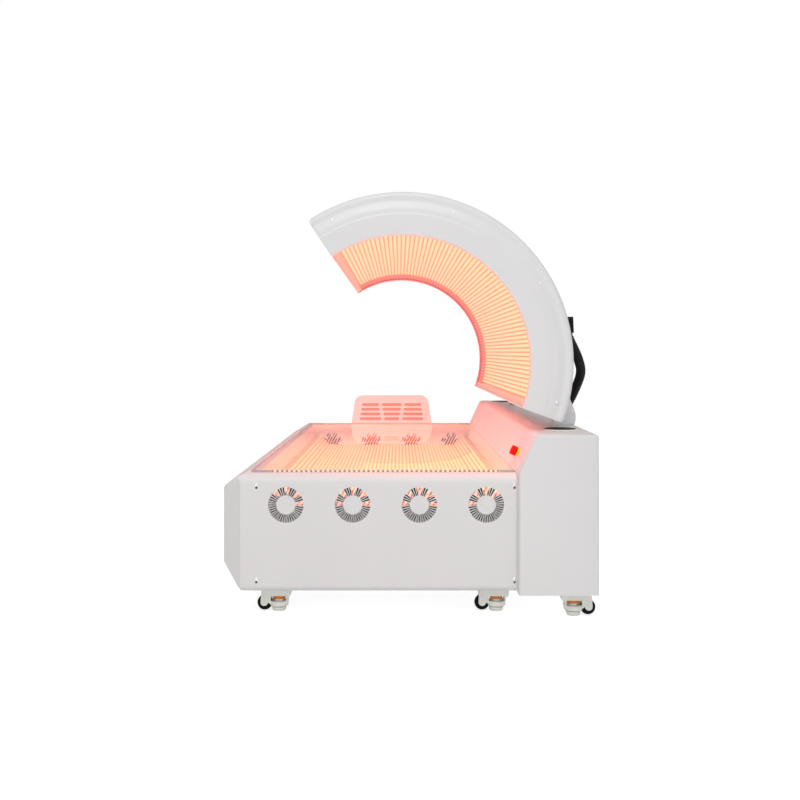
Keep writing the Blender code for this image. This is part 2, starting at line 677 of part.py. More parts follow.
def cabinet():
    low = SKIRT_Z + SHEET / 2
    outer = [
        (CABINET_X, low),
        (HALF_WIDTH, low),
        (HALF_WIDTH, CABINET_TOP),
        (CABINET_X + SLOPE_RUN, CABINET_TOP),
        (CABINET_X, BED_TOP),
    ]
    room = [
        (CABINET_X + SHEET, low - BEYOND),
        (HALF_WIDTH - SHEET, low - BEYOND),
        (HALF_WIDTH - SHEET, CABINET_TOP - SHEET),
        (CABINET_X + SLOPE_RUN + SHEET * 0.65, CABINET_TOP - SHEET),
        (CABINET_X + SHEET, BED_TOP - SHEET * 0.65),
    ]
    shell = prism(outer, CABINET_FOOT, CABINET_HEAD, "Y")
    bevelled = [edge for edge in shell.edges
                if min(vert.co.z for vert in edge.verts) > BED_TOP - CLEAR]
    bmesh.ops.bevel(shell, geom=bevelled, offset=0.004, segments=2, profile=0.5, affect="EDGES")
    wall = SHEET + CLEAR
    under = box((CABINET_X - BEYOND, FOOT_FACE + SHEET, 0),
                (CABINET_X + 2 * SHEET, HEAD_FACE, CHASSIS_Z + CHASSIS_DEPTH + CLEAR))
    service = box((HALF_WIDTH - 2 * SHEET, CABINET_FOOT + SERVICE_MARGIN, CHASSIS_Z + SERVICE_MARGIN),
                  (HALF_WIDTH + BEYOND, CABINET_HEAD - SERVICE_MARGIN, CABINET_TOP - SERVICE_MARGIN))
    stem_hole = placed(rod(STOP_STEM + 3 * CLEAR, -BEYOND, BEYOND, 16), slope_frame())
    cavity = prism(room, CABINET_FOOT + SHEET, CABINET_HEAD - SHEET, "Y")
    piece("hinge_cabinet", solid(shell, cut=[cavity, under, service, stem_hole]), WHITE)

    low_y, high_y = CABINET_FOOT + SERVICE_MARGIN + CLEAR, CABINET_HEAD - SERVICE_MARGIN - CLEAR
    panel = box((HALF_WIDTH - SHEET, low_y, CHASSIS_Z + SERVICE_MARGIN + CLEAR),
                (HALF_WIDTH, high_y, CABINET_TOP - SERVICE_MARGIN - CLEAR))
    louvres = []
    middle_z = (CHASSIS_Z + CABINET_TOP) / 2 - LOUVRE_PITCH * (LOUVRE_COUNT - 1) / 2
    for centre in (low_y + LOUVRE_LENGTH, high_y - LOUVRE_LENGTH):
        for index in range(LOUVRE_COUNT):
            z = middle_z + LOUVRE_PITCH * index
            louvres.append(box((HALF_WIDTH - BEYOND, centre - LOUVRE_LENGTH / 2, z - LOUVRE_HEIGHT / 2),
                               (HALF_WIDTH + BEYOND, centre + LOUVRE_LENGTH / 2, z + LOUVRE_HEIGHT / 2)))
    piece("cabinet_back_panel", solid(panel, cut=[together(louvres)]), WHITE)


def speakers():
    dish = SPEAKER_RADIUS - SPEAKER_RIM
    profile = [(0, 0), (SPEAKER_RADIUS, 0), (SPEAKER_RADIUS, SPEAKER_HEIGHT * 0.6),
               (SPEAKER_RADIUS - SPEAKER_RIM / 2, SPEAKER_HEIGHT), (dish, SPEAKER_HEIGHT * 0.7),
               (0, SPEAKER_HEIGHT * 0.5)]
    mesh = to_mesh(turned(profile, 24), "speaker")
    for end, y in (("foot", CABINET_FOOT + SPEAKER_INSET), ("head", CABINET_HEAD - SPEAKER_INSET)):
        piece(f"speaker_{end}", mesh, BLACK, location=(SPEAKER_X, y, CABINET_TOP + CLEAR))


def emergency_stop():
    frame = slope_frame()
    bore = STOP_STEM + 2 * CLEAR
    low, high = CLEAR, CLEAR + STOP_COLLAR_THICK
    collar = turned([(bore, low), (STOP_COLLAR, low), (STOP_COLLAR, high - 0.001),
                     (STOP_COLLAR - 0.002, high), (bore, high), (bore, low)], 20)
    piece("estop_base", collar, YELLOW, location=frame.translation, turn=frame.to_euler())
    cap_low, cap_high = STOP_RISE, STOP_RISE + STOP_CAP_HEIGHT
    button = turned([(0, -STOP_RISE), (STOP_STEM, -STOP_RISE), (STOP_STEM, cap_low),
                     (STOP_CAP * 0.8, cap_low), (STOP_CAP, cap_low + STOP_CAP_HEIGHT * 0.35),
                     (STOP_CAP * 0.95, cap_high - STOP_CAP_HEIGHT * 0.25),
                     (STOP_CAP * 0.7, cap_high), (0, cap_high)], 20)
    piece("estop_button", button, RED, location=frame.translation, turn=frame.to_euler())


# Canopy
def polar(radius, angle, slide=0.0):
    """A point of the arch's section, moved along the arc by a wall's thickness."""
    x = radius * math.cos(angle) - slide * math.sin(angle)
    z = radius * math.sin(angle) + slide * math.cos(angle)
    return (x, z)


def ring_arc(radius, low, high, steps):
    return arc((0, 0), radius, low, high, steps)


def canopy_shell(rig):
    inner = ARCH_OUTER - SHELL_WALL
    margin = SHELL_WALL / inner
    outline = [polar(ARCH_INNER, ARCH_LOW)]
    outline += ring_arc(ARCH_OUTER, ARCH_LOW, ARCH_HIGH, ARCH_STEPS)
    outline += [polar(ARCH_INNER, ARCH_HIGH), polar(ARCH_INNER, ARCH_HIGH, -SHELL_WALL)]
    outline += ring_arc(inner, ARCH_HIGH - margin, ARCH_LOW + margin, ARCH_STEPS)
    outline += [polar(ARCH_INNER, ARCH_LOW, SHELL_WALL)]
    span = (CANOPY_FOOT + PLATE_DEPTH + CLEAR, CANOPY_HEAD - PLATE_DEPTH - CLEAR)
    piece("canopy_outer_shell", prism(outline, *span, "Y"), WHITE, *rig)


def canopy_plate(name, rig, sign, face):
    """An end plate: a flat inner ring, a step down to the screw band, and a rounded rim."""
    half_step = PLATE_STEP / 2
    rim = ARCH_OUTER - PLATE_ROUND
    bend = arc((rim, PLATE_STEP + PLATE_ROUND), PLATE_ROUND, -math.pi / 2, 0, 4)
    profile = [(ARCH_INNER, 0), (PLATE_STEP_RADIUS - half_step, 0),
               (PLATE_STEP_RADIUS + half_step, PLATE_STEP)]
    profile += bend + [(ARCH_OUTER, PLATE_DEPTH), (ARCH_INNER, PLATE_DEPTH)]
    bm = bmesh.new()
    start = [(radius * math.cos(ARCH_LOW), face + sign * depth, radius * math.sin(ARCH_LOW))
             for radius, depth in profile]
    section = bm.faces.new([bm.verts.new(point) for point in start])
    bmesh.ops.spin(bm, geom=[section], cent=(0, 0, 0), axis=(0, -1, 0), angle=ARCH_HIGH - ARCH_LOW,
                   steps=ARCH_STEPS)
    piece(name, bm, WHITE, *rig)


def canopy_cover(rig):
    outer = ARCH_INNER + COVER_THICK
    margin = (SHELL_WALL + CLEAR) / ARCH_INNER
    low, high = ARCH_LOW + margin, ARCH_HIGH - margin
    outline = ring_arc(ARCH_INNER, low, high, ARCH_STEPS) + ring_arc(outer, high, low, ARCH_STEPS)
    span = (CANOPY_FOOT + PLATE_DEPTH + CLEAR, CANOPY_HEAD - PLATE_DEPTH - CLEAR)
    piece("canopy_acrylic_cover", prism(outline, *span, "Y"), CLEAR_SHEET, *rig)


def canopy_lamp_tray(rig):
    """A curved reflector with lamp bars standing on its inner face, and a board at each edge."""
    board_tip = ARCH_INNER + COVER_THICK + CLEAR
    tip = ARCH_INNER + LAMP_RECESS
    root = tip + LAMP_HEIGHT
    margin = (SHELL_WALL + 3 * CLEAR) / ARCH_INNER
    low, high = ARCH_LOW + margin, ARCH_HIGH - margin
    middle = (low + high) / 2
    first = middle - CANOPY_LAMP_PITCH * (CANOPY_LAMPS - 1) / 2
    board = first - CANOPY_LAMP_PITCH - low
    teeth = [(board_tip, low, low + board)]
    for index in range(CANOPY_LAMPS):
        centre = first + CANOPY_LAMP_PITCH * index
        teeth.append((tip, centre - CANOPY_LAMP_WIDTH / 2, centre + CANOPY_LAMP_WIDTH / 2))
    teeth.append((board_tip, high - board, high))
    outline = []
    for radius, start, end in teeth:
        outline += [polar(root, start), polar(radius, start), polar(radius, end), polar(root, end)]
    outline = outline[1:-1]
    outline += ring_arc(root + TRAY_WALL, high, low, ARCH_STEPS)
    span = (CANOPY_FOOT + PLATE_DEPTH + CLEAR, CANOPY_HEAD - PLATE_DEPTH - CLEAR)
    piece("canopy_lamp_tray", prism(outline, *span, "Y"), LAMP, *rig)


def lug_rows():
    """Name of the end, the lug's outer face and the way its thickness runs."""
    return (("foot", CABINET_FOOT + LUG_INSET, 1), ("head", CABINET_HEAD - LUG_INSET, -1))


def hinge_lugs():
    """Lugs on the cabinet's top, round at the back, tapered above, and hollowed clear of the canopy."""
    seat = CABINET_TOP + CLEAR - HINGE_Z
    back = arc((0, 0), LUG_RADIUS, math.asin(seat / LUG_RADIUS), LUG_TAPER, 6)
    top_x = back[-1][0] - (LUG_TOP - back[-1][1]) * math.tan(LUG_TAPER)
    outline = back + [(top_x, LUG_TOP), (0.0125, LUG_TOP), (0.0015, 0.036), (-0.0100, 0.0), (-0.0060, seat)]
    for end_name, face, sign in lug_rows():
        lug = prism(outline, face, face + sign * LUG_THICK, "Y")
        hole = along_y(rod(PIN_RADIUS + PIN_FIT, -BEYOND, BEYOND, 14), face)
        piece(f"hinge_lug_{end_name}", solid(lug, cut=[hole]), WHITE, location=(HINGE_X, 0, HINGE_Z))


def hinge_pins():
    length = LUG_THICK + ARM_THICK + 3 * CLEAR
    for end_name, face, sign in lug_rows():
        pin = turned([(0, -PIN_HEAD_THICK), (PIN_HEAD, -PIN_HEAD_THICK), (PIN_HEAD, -CLEAR),
                      (PIN_RADIUS, -CLEAR), (PIN_RADIUS, length), (0, length)], 14)
        turn = (-sign * math.pi / 2, 0, 0)
        place = (HINGE_X, face, HINGE_Z)
        piece(f"hinge_pin_{end_name}", pin, STEEL, location=place, turn=turn)


def hinge_arms(rig):
    """Gussets on the shell's back, each with an eye on the pin, beside its lug."""
    axis = Vector((-ARCH_DX, -ARCH_DZ))
    saddle = ARCH_OUTER + CLEAR
    low = ARCH_LOW + CLEAR / ARCH_OUTER
    seat = ring_arc(saddle, ARM_SADDLE_HIGH, low, 6)
    eye = [(axis.x + x, axis.y + z) for x, z in arc((0, 0), ARM_EYE, -2.3, 1.25, 10)]
    for end_name, face, sign in lug_rows():
        near = face + sign * (LUG_THICK + CLEAR)
        arm = prism(seat + eye, near, near + sign * ARM_THICK, "Y")
        hole = along_y(rod(PIN_RADIUS + PIN_FIT, -BEYOND, BEYOND, 14), face)
        hole = placed(hole, Matrix.Translation((axis.x, 0, axis.y)))
        piece(f"hinge_arm_{end_name}", solid(arm, cut=[hole]), WHITE, *rig)


# Headrest
def headrest():
    """A slotted upright sheet with rounded top corners, bent forward into a flat foot."""
    corner = [(-REST_BOTTOM / 2, 0), (-REST_TOP / 2, REST_HEIGHT), (REST_TOP / 2, REST_HEIGHT),
              (REST_BOTTOM / 2, 0)]
    upright = prism(rounded(corner, REST_ROUND, 4), 0, REST_THICK, "Y")
    slots = []
    for row in range(REST_ROWS):
        z = REST_FIRST_ROW + REST_ROW_PITCH * row
        share = row / (REST_ROWS - 1)
        middle = 0.040 + 0.013 * share
        inner = middle + 0.0165
        outer = 0.1710 - 0.012 * share
        for left, right in ((-outer, -inner), (-middle, middle), (inner, outer)):
            slots.append(box((left, -BEYOND, z - REST_SLOT / 2), (right, BEYOND, z + REST_SLOT / 2)))
    panel = solid(upright, cut=[together(slots)])
    leaning = bmesh.new()
    leaning.from_mesh(panel)
    placed(leaning, Matrix.Rotation(-REST_LEAN, 4, "X"))
    foot = box((-REST_BOTTOM / 2, -REST_FOOT, 0), (REST_BOTTOM / 2, REST_THICK * 0.7, REST_THICK))
    bend = box((-REST_BOTTOM, -REST_BOTTOM, -REST_THICK), (REST_BOTTOM, REST_BOTTOM, 0))
    place = (REST_X, HEAD_FACE - REST_INSET, BED_TOP + CLEAR)
    piece("headrest", solid(foot, joined=[leaning], cut=[bend]), CLEAR_SHEET, location=place)


# Cable conduit and its glands
def from_hinge(x, y, z):
    """A point given from the hinge axis at the face of the foot lug."""
    return Vector((HINGE_X + x, CABINET_FOOT + LUG_INSET + y, HINGE_Z + z))


def conduit_route(steps=24):
    """A smooth curve from gland to gland, straight for one diameter at each end."""
    heading = Vector((math.sin(CONDUIT_SPLAY), 0, -math.cos(CONDUIT_SPLAY)))
    start, end = from_hinge(*CONDUIT_START), from_hinge(*CONDUIT_END)
    leave = start + heading * 2 * CONDUIT_RADIUS
    arrive = end + Vector((0, 0, 2 * CONDUIT_RADIUS))
    padded = [start, leave] + [from_hinge(*point) for point in CONDUIT_WAY] + [arrive, end]
    curve = [start]
    for a, b, c, d in zip(padded, padded[1:], padded[2:], padded[3:]):
        for step in range(steps):
            t = step / steps
            curve.append(0.5 * (2 * b + (c - a) * t + (2 * a - 5 * b + 4 * c - d) * t * t
                                + (3 * b - a - 3 * c + d) * t ** 3))
    return curve + [arrive, end], heading


def spaced(curve, count):
    """Points at equal steps along a curve."""
    runs = [0.0]
    for before, after in zip(curve, curve[1:]):
        runs.append(runs[-1] + (after - before).length)
    points = []
    index = 0
    for step in range(count + 1):
        target = runs[-1] * step / count
        while index < len(runs) - 2 and runs[index + 1] < target:
            index += 1
        share = (target - runs[index]) / (runs[index + 1] - runs[index])
        points.append(curve[index].lerp(curve[index + 1], share))
    return points, runs[-1]


def tube(points, radii):
    """A round tube along points, with a radius at each, as a bmesh."""
    curve = bpy.data.curves.new("tube", "CURVE")
    curve.dimensions = "3D"
    curve.bevel_depth = 1.0
    curve.bevel_resolution = 2
    curve.use_fill_caps = True
    spline = curve.splines.new("POLY")
    spline.points.add(len(points) - 1)
    for spot, point, radius in zip(spline.points, points, radii):
        spot.co = (*point, 1.0)
        spot.radius = radius
    holder = bpy.data.objects.new("tube", curve)
    bpy.context.collection.objects.link(holder)
    graph = bpy.context.evaluated_depsgraph_get()
    mesh = bpy.data.meshes.new_from_object(holder.evaluated_get(graph))
    bpy.data.objects.remove(holder, do_unlink=True)
    bm = bmesh.new()
    bm.from_mesh(mesh)
    bmesh.ops.remove_doubles(bm, verts=bm.verts, dist=1e-6)
    return bm


def conduit():
    curve, heading = conduit_route()
    _, length = spaced(curve, 1)
    ribs = round(length / CONDUIT_RIB)
    points, length = spaced(curve, 2 * ribs)
    radii = [CONDUIT_RADIUS if index % 2 else CONDUIT_ROOT for index in range(len(points))]
    core, _ = spaced(curve, ribs // 2)
    ends = [core[0] * 2 - core[1], *core[1:-1], core[-1] * 2 - core[-2]]
    bore = tube(ends, [CONDUIT_BORE] * len(ends))
    piece("cable_conduit", solid(tube(points, radii), cut=[bore]), BLACK)
    print(f"conduit length {length:.3f} m, {ribs} ribs")
    return curve[0], heading


def glands(rig, first, heading):
    """The box that the conduit leaves the canopy by, and the collar on the cabinet."""
    last = from_hinge(*CONDUIT_END)
    low = CABINET_TOP + CLEAR
    high = last.z - CLEAR
    collar = turned([(0, low), (GLAND_RADIUS, low), (GLAND_RADIUS, high - 0.003),
                     (GLAND_RADIUS - 0.003, high), (0, high)], 16)
    piece("cabinet_gland", collar, BLACK, location=(last.x, last.y, 0))

    exit_face = first - heading * CLEAR
    along = Vector((-heading.z, 0, heading.x)) * GLAND_BOX_DEEP / 2
    top_back = from_hinge(CONDUIT_START[0] + GLAND_BOX_OUT, 0, CONDUIT_START[2] + GLAND_BOX_RISE)
    corners = [exit_face - along, exit_face + along, top_back, top_back - Vector((2 * GLAND_BOX_DEEP, 0, 0))]
    outline = [(corner.x - ARCH_X, corner.z - ARCH_Z) for corner in corners]
    half = GLAND_BOX_WIDE / 2
    block = prism(outline, first.y - half, first.y + half, "Y")
    shell = along_y(rod(ARCH_OUTER + CLEAR, -BEYOND, BEYOND, 160), first.y)
    piece("canopy_gland", solid(block, cut=[shell]), BLACK, *rig)


# Levelling castors
def castor_housing():
    """The housing about the foot's axis, with the wheel towards -X."""
    axle_z = WHEEL_RADIUS + WHEEL_LIFT
    top = CASTOR_HEIGHT - CLEAR
    side = -WHEEL_OFFSET - AXLE_BOSS
    boss = arc((-WHEEL_OFFSET, axle_z), AXLE_BOSS, math.pi, math.tau, 6)
    low = (RING_LOW + RING_HIGH) / 2
    outline = [(side + 0.004, top), *boss, (-WINDOW_HALF - 0.003, low), (WINDOW_HALF, low),
               (HOUSING_RIGHT - 0.006, low), (HOUSING_RIGHT, RING_HIGH + 0.008), (HOUSING_RIGHT, top)]
    body = prism(outline, -HOUSING_HALF, HOUSING_HALF, "Y")
    ring = rod(RING_RADIUS, RING_LOW, RING_HIGH, 14)
    window = box((-WINDOW_HALF, -BEYOND, RING_HIGH), (WINDOW_HALF, BEYOND, WINDOW_TOP))
    bore = rod(BORE_RADIUS, 0, CASTOR_HEIGHT - SHEET, 10)
    half = WHEEL_WIDTH / 2 + CLEAR
    at_axle = Matrix.Translation((-WHEEL_OFFSET, 0, axle_z))
    wheel_room = placed(along_y(rod(WHEEL_RADIUS + WHEEL_ROOM, -half, half, 16), 0), at_axle)
    fork = bmesh.new()
    fork.from_mesh(solid(body, joined=[ring], cut=[window, bore, wheel_room]))
    axle = placed(along_y(rod(AXLE_RADIUS, -half - SHEET, half + SHEET, 8), 0), at_axle)
    return solid(fork, joined=[axle])


def castor_wheel():
    half = WHEEL_WIDTH / 2
    tread = WHEEL_RADIUS
    bore = AXLE_RADIUS + 2 * CLEAR
    profile = [(bore, -half), (tread * 0.5, -half), (tread * 0.8, -half * 0.85), (tread, -half * 0.55)]
    profile += [(radius, -height) for radius, height in profile[::-1]]
    return to_mesh(along_y(turned(profile + profile[:1], 16), 0), "castor wheel")


def castor_thumbwheel():
    low, high = RING_HIGH + CLEAR, WINDOW_TOP - CLEAR
    bore = STEM_RADIUS + CLEAR
    profile = [(bore, low), (THUMB_HUB, low), (THUMB_HUB, THUMB_SPLIT), (THUMB_RADIUS, THUMB_SPLIT),
               (THUMB_RADIUS, high), (bore, high), (bore, low)]
    return to_mesh(turned(profile, 12), "castor thumbwheel")


def castor_foot():
    profile = [(0, 0), (FOOT_PAD_LOW, 0), (FOOT_PAD_TOP, FOOT_PAD_HEIGHT * 0.6),
               (FOOT_PAD_TOP, FOOT_PAD_HEIGHT), (STEM_RADIUS, FOOT_PAD_HEIGHT), (STEM_RADIUS, STEM_TOP),
               (0, STEM_TOP)]
    return to_mesh(turned(profile, 12), "castor foot")


def castors():
    housing, wheel = castor_housing(), castor_wheel()
    thumbwheel, foot = castor_thumbwheel(), castor_foot()
    axle = (-WHEEL_OFFSET, 0, WHEEL_RADIUS + WHEEL_LIFT)
    for name, x, y, heading in castor_places():
        swivel = pivot(f"{name}_swivel", (x, y, 0), turn=(0, 0, heading))
        piece(f"{name}_housing", housing, GREY, swivel)
        piece(f"{name}_wheel", wheel, BLACK, swivel, axle)
        piece(f"{name}_thumbwheel", thumbwheel, ORANGE, swivel)
        piece(f"{name}_foot", foot, GREY, swivel)


def canopy():
    hinge = pivot("canopy_hinge_axis", (HINGE_X, 0, HINGE_Z))
    rig = (hinge, (ARCH_DX, 0, ARCH_DZ))
    canopy_shell(rig)
    canopy_plate("canopy_foot_plate", rig, 1, CANOPY_FOOT)
    canopy_plate("canopy_head_plate", rig, -1, CANOPY_HEAD)
    canopy_cover(rig)
    canopy_lamp_tray(rig)
    hinge_arms(rig)
    return rig


chassis_tray()
fascia()
end_panel("foot_end_panel", 1, FOOT_FACE)
end_panel("head_end_panel", -1, HEAD_FACE)
fans()
tub_liner()
bed_lamp_rack()
bed_acrylic_sheet()
cabinet()
speakers()
emergency_stop()
hinge_lugs()
hinge_pins()
glands(canopy(), *conduit())
headrest()
castors()
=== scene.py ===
# %% [markdown]
# # A red light therapy bed, dressed piece by piece
#
# The bed is a sheet metal base with lamps under a clear sheet, and an arch of lamps that swings down
# over the person. The solids of the part give the places. Each cell below makes one visible piece in
# finer detail, gives it a finish, and lets it ride on the body that carries it.

# %% Load the frame
import math

import bmesh
import bpy
from mathutils import Matrix, Vector


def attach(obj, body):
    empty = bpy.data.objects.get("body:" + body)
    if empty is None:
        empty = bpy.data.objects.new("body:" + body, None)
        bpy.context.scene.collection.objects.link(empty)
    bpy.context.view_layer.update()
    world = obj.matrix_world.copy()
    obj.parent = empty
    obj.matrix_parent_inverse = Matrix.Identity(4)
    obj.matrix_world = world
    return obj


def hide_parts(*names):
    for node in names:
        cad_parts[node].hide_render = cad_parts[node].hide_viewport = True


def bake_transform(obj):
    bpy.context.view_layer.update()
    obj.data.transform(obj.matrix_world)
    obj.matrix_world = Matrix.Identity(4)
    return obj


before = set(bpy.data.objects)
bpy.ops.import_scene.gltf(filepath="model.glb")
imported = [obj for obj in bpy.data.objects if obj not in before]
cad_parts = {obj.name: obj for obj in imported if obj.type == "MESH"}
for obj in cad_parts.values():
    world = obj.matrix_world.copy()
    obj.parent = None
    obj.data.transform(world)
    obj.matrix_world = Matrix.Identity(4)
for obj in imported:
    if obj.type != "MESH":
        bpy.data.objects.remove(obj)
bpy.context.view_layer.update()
scene = bpy.context.scene

# %% [markdown]
# ## Camera
#
# The photograph looks along the bed from its foot, with a slightly long lens. All uprights are upright
# in it, so the camera is level and its lens is shifted down. Both the lens and its shift are measured
# in pixels of the picture here.

# %% Camera
IMAGE_PIXELS = 800
FOCAL_PIXELS = 922.0
EYE = (-0.028, -3.9425, 0.850)
HORIZON_PIXEL = 351.8
MIDDLE_PIXEL = 399.6

camera_data = bpy.data.cameras.new("camera")
camera_data.sensor_width = 36.0
camera_data.lens = FOCAL_PIXELS / IMAGE_PIXELS * camera_data.sensor_width
camera_data.shift_x = 0.5 - MIDDLE_PIXEL / IMAGE_PIXELS
camera_data.shift_y = HORIZON_PIXEL / IMAGE_PIXELS - 0.5
camera = bpy.data.objects.new("camera", camera_data)
camera.location = EYE
camera.rotation_euler = (math.pi / 2, 0.0, 0.0)
scene.collection.objects.link(camera)
scene.camera = camera
scene.view_settings.view_transform = "Standard"
print(f"camera: {camera_data.lens:.1f} mm lens")

# %% [markdown]
# ## A wire for shader maths
#
# Node graphs get long when each sum is a node that is placed by hand. Here one small class wraps an
# output socket, so that a sum of two wires adds its own Math node. Its node method makes any other
# node: the settings first, because some of them change the sockets, and then the sockets.

# %% Wires between nodes
class Wire:
    """An output socket that takes part in Python expressions."""

    def __init__(self, socket):
        self.socket = socket

    def node(self, kind, settings=None, sockets=None, output=0):
        """Adds a node of a type, with its settings, then the values or links of its sockets."""
        tree = self.socket.id_data
        made = tree.nodes.new("ShaderNode" + kind)
        for key, value in (settings or {}).items():
            setattr(made, key, value)
        for key, value in (sockets or {}).items():
            if isinstance(value, Wire):
                tree.links.new(value.socket, made.inputs[key])
            else:
                made.inputs[key].default_value = value
        return Wire(made.outputs[output])

    def sum_node(self, operation, first, second):
        return self.node("Math", {"operation": operation}, {0: first, 1: second})

    def __add__(self, other):
        return self.sum_node("ADD", self, other)

    def __radd__(self, other):
        return self.sum_node("ADD", other, self)

    def __sub__(self, other):
        return self.sum_node("SUBTRACT", self, other)

    def __rsub__(self, other):
        return self.sum_node("SUBTRACT", other, self)

    def __mul__(self, other):
        return self.sum_node("MULTIPLY", self, other)

    def __rmul__(self, other):
        return self.sum_node("MULTIPLY", other, self)

    def __gt__(self, other):
        return self.sum_node("GREATER_THAN", self, other)

    def __lt__(self, other):
        return self.sum_node("LESS_THAN", self, other)

    def wave(self, period):
        """0 to 1 and back once per period."""
        turn = self * (math.tau / period)
        return turn.node("Math", {"operation": "SINE"}, {0: turn}) * 0.5 + 0.5

    def between(self, low, high):
        """0 below low, 1 above high, and a straight ramp between."""
        return self.node("MapRange", {"clamp": True}, {0: self, 1: low, 2: high, 3: 0.0, 4: 1.0})

    def into(self, socket):
        self.socket.id_data.links.new(self.socket, socket)


print("shader maths: wires")

# %% [markdown]
# ## Studio
#
# The photograph is a catalogue picture on plain white. Its light comes from high in front: what leans
# back is lightest, upright faces are a little darker, and what leans forward is darker still. A wide
# soft lamp up there does that, a second one lower down reaches the castors, and a world of even light
# fills the shadows. Two more lamps stand behind, for views from there. The camera, mirrors and glass
# see the world at full white. Mirrors see only the high lamp, because the clear sheets would show the
# others as white discs.

# %% Studio
WORLD_LIGHT = 0.42
KEY_LAMP = "high softbox"
# Each lamp's name, power in watts, size across and place.
SOFTBOXES = [(KEY_LAMP, 194.0, 4.0, Vector((-0.5, -5.6, 5.8))),
             ("low softbox", 45.0, 2.5, Vector((0.0, -6.0, 0.6))),
             ("entry softbox", 14.0, 2.0, Vector((-4.8, 2.6, 1.2))),
             ("back softbox", 80.0, 2.5, Vector((3.8, 4.6, 1.4)))]
LAMP_AIM = Vector((0.0, -0.6, 0.6))


def seen_directly(tree):
    """1 for rays of the camera and for rays in mirrors and glass, else 0."""
    path = tree.nodes.new("ShaderNodeLightPath")
    seen = Wire(path.outputs["Is Camera Ray"])
    for name in ("Is Glossy Ray", "Is Transmission Ray"):
        seen = seen.sum_node("MAXIMUM", seen, Wire(path.outputs[name]))
    return seen


world = bpy.data.worlds.new("studio")
scene.world = world
world.use_nodes = True
background = world.node_tree.nodes["Background"]
strength = WORLD_LIGHT + seen_directly(world.node_tree) * (1.0 - WORLD_LIGHT)
strength.into(background.inputs["Strength"])
background.inputs["Color"].default_value = (1.0, 1.0, 1.0, 1.0)

for name, power, size, spot in SOFTBOXES:
    lamp_data = bpy.data.lights.new(name, "AREA")
    lamp_data.shape = "DISK"
    lamp_data.size = size
    lamp_data.energy = power
    softbox = bpy.data.objects.new(name, lamp_data)
    softbox.location = spot
    softbox.rotation_euler = (LAMP_AIM - spot).to_track_quat("-Z", "Y").to_euler()
    softbox.visible_glossy = name == KEY_LAMP
    scene.collection.objects.link(softbox)
print("studio: world", WORLD_LIGHT, "and", len(SOFTBOXES), "softboxes")

# %% [markdown]
# ## Cards and floor
#
# Clear sheets mirror whatever stands round them. Behind the bed and far in front of it, out of the
# picture, stand muted cards of the kind that photographers use, so that the sheets mirror a card and
# show the lamps under them. Only mirrors see the cards. The floor is a wide pale plane that takes the
# bed's shadow, and a glow that only the camera, mirrors and glass see lifts it towards white.

# %% Cards and floor
# Each card's name, place along the bed, width and height.
CARDS = [("back card", 4.0, 10.0, 8.0), ("front card", -9.0, 30.0, 12.0)]
CARD_MIDDLE = 0.75
CARD_TONE = (0.74, 0.52, 0.49, 1.0)
FLOOR_HALF = 30.0
FLOOR_TONE = (0.80, 0.80, 0.80, 1.0)
FLOOR_FILL = 0.68


def stage_finish(name, tone):
    """A dull finish, and its shader."""
    material = bpy.data.materials.new(name)
    material.use_nodes = True
    shader = material.node_tree.nodes["Principled BSDF"]
    shader.inputs["Base Color"].default_value = tone
    shader.inputs["Roughness"].default_value = 0.9
    return material, shader


def stage_plane(name, half, place, material):
    """A flat square for the stage."""
    plane = bmesh.new()
    bmesh.ops.create_grid(plane, x_segments=1, y_segments=1, size=half)
    bmesh.ops.transform(plane, verts=plane.verts, matrix=place)
    data = bpy.data.meshes.new(name)
    plane.to_mesh(data)
    plane.free()
    data.materials.append(material)
    made = bpy.data.objects.new(name, data)
    scene.collection.objects.link(made)
    return made


card_finish, _ = stage_finish("muted card", CARD_TONE)
for name, y, wide, tall in CARDS:
    upright = Matrix.Rotation(math.pi / 2, 4, "X") @ Matrix.Diagonal((wide, tall, 1.0, 1.0))
    card = stage_plane(name, 0.5, Matrix.Translation((0.0, y, CARD_MIDDLE)) @ upright, card_finish)
    for kind in ("camera", "diffuse", "transmission", "shadow"):
        setattr(card, f"visible_{kind}", False)

floor_finish, floor_shader = stage_finish("pale floor", FLOOR_TONE)
floor_shader.inputs["Specular IOR Level"].default_value = 0.0
floor_shader.inputs["Emission Color"].default_value = (1.0, 1.0, 1.0, 1.0)
(seen_directly(floor_finish.node_tree) * FLOOR_FILL).into(floor_shader.inputs["Emission Strength"])
floor = stage_plane("floor", FLOOR_HALF, Matrix.Identity(4), floor_finish)
print("stage:", len(CARDS), "cards and a floor")

# %% [markdown]
# ## Finishes
#
# Each finish starts as a Principled shader with plain values. What changes over the surface is added
# by wires from the Object coordinates, which are metres here, so a scale can be read as so many
# features in a metre.

# %% Start of a finish
def start_finish(name, values):
    """A material, its shader with plain values set, and the wire of its Object coordinates."""
    material = bpy.data.materials.new(name)
    material.use_nodes = True
    shader = material.node_tree.nodes["Principled BSDF"]
    for key, value in values.items():
        shader.inputs[key].default_value = value
    coordinates = material.node_tree.nodes.new("ShaderNodeTexCoord")
    return material, shader, Wire(coordinates.outputs["Object"])


def noise(place, scale, detail=2.0):
    return place.node("TexNoise", {}, {"Vector": place, "Scale": scale, "Detail": detail})


def blend_colours(share, first, second):
    return share.node("Mix", {"data_type": "RGBA"}, {0: share, 6: (*first, 1.0), 7: (*second, 1.0)}, 2)


def relief(height, distance):
    return height.node("Bump", {}, {"Strength": 1.0, "Distance": distance, "Height": height})


print("finishes: Principled shader, noise, blends and relief")

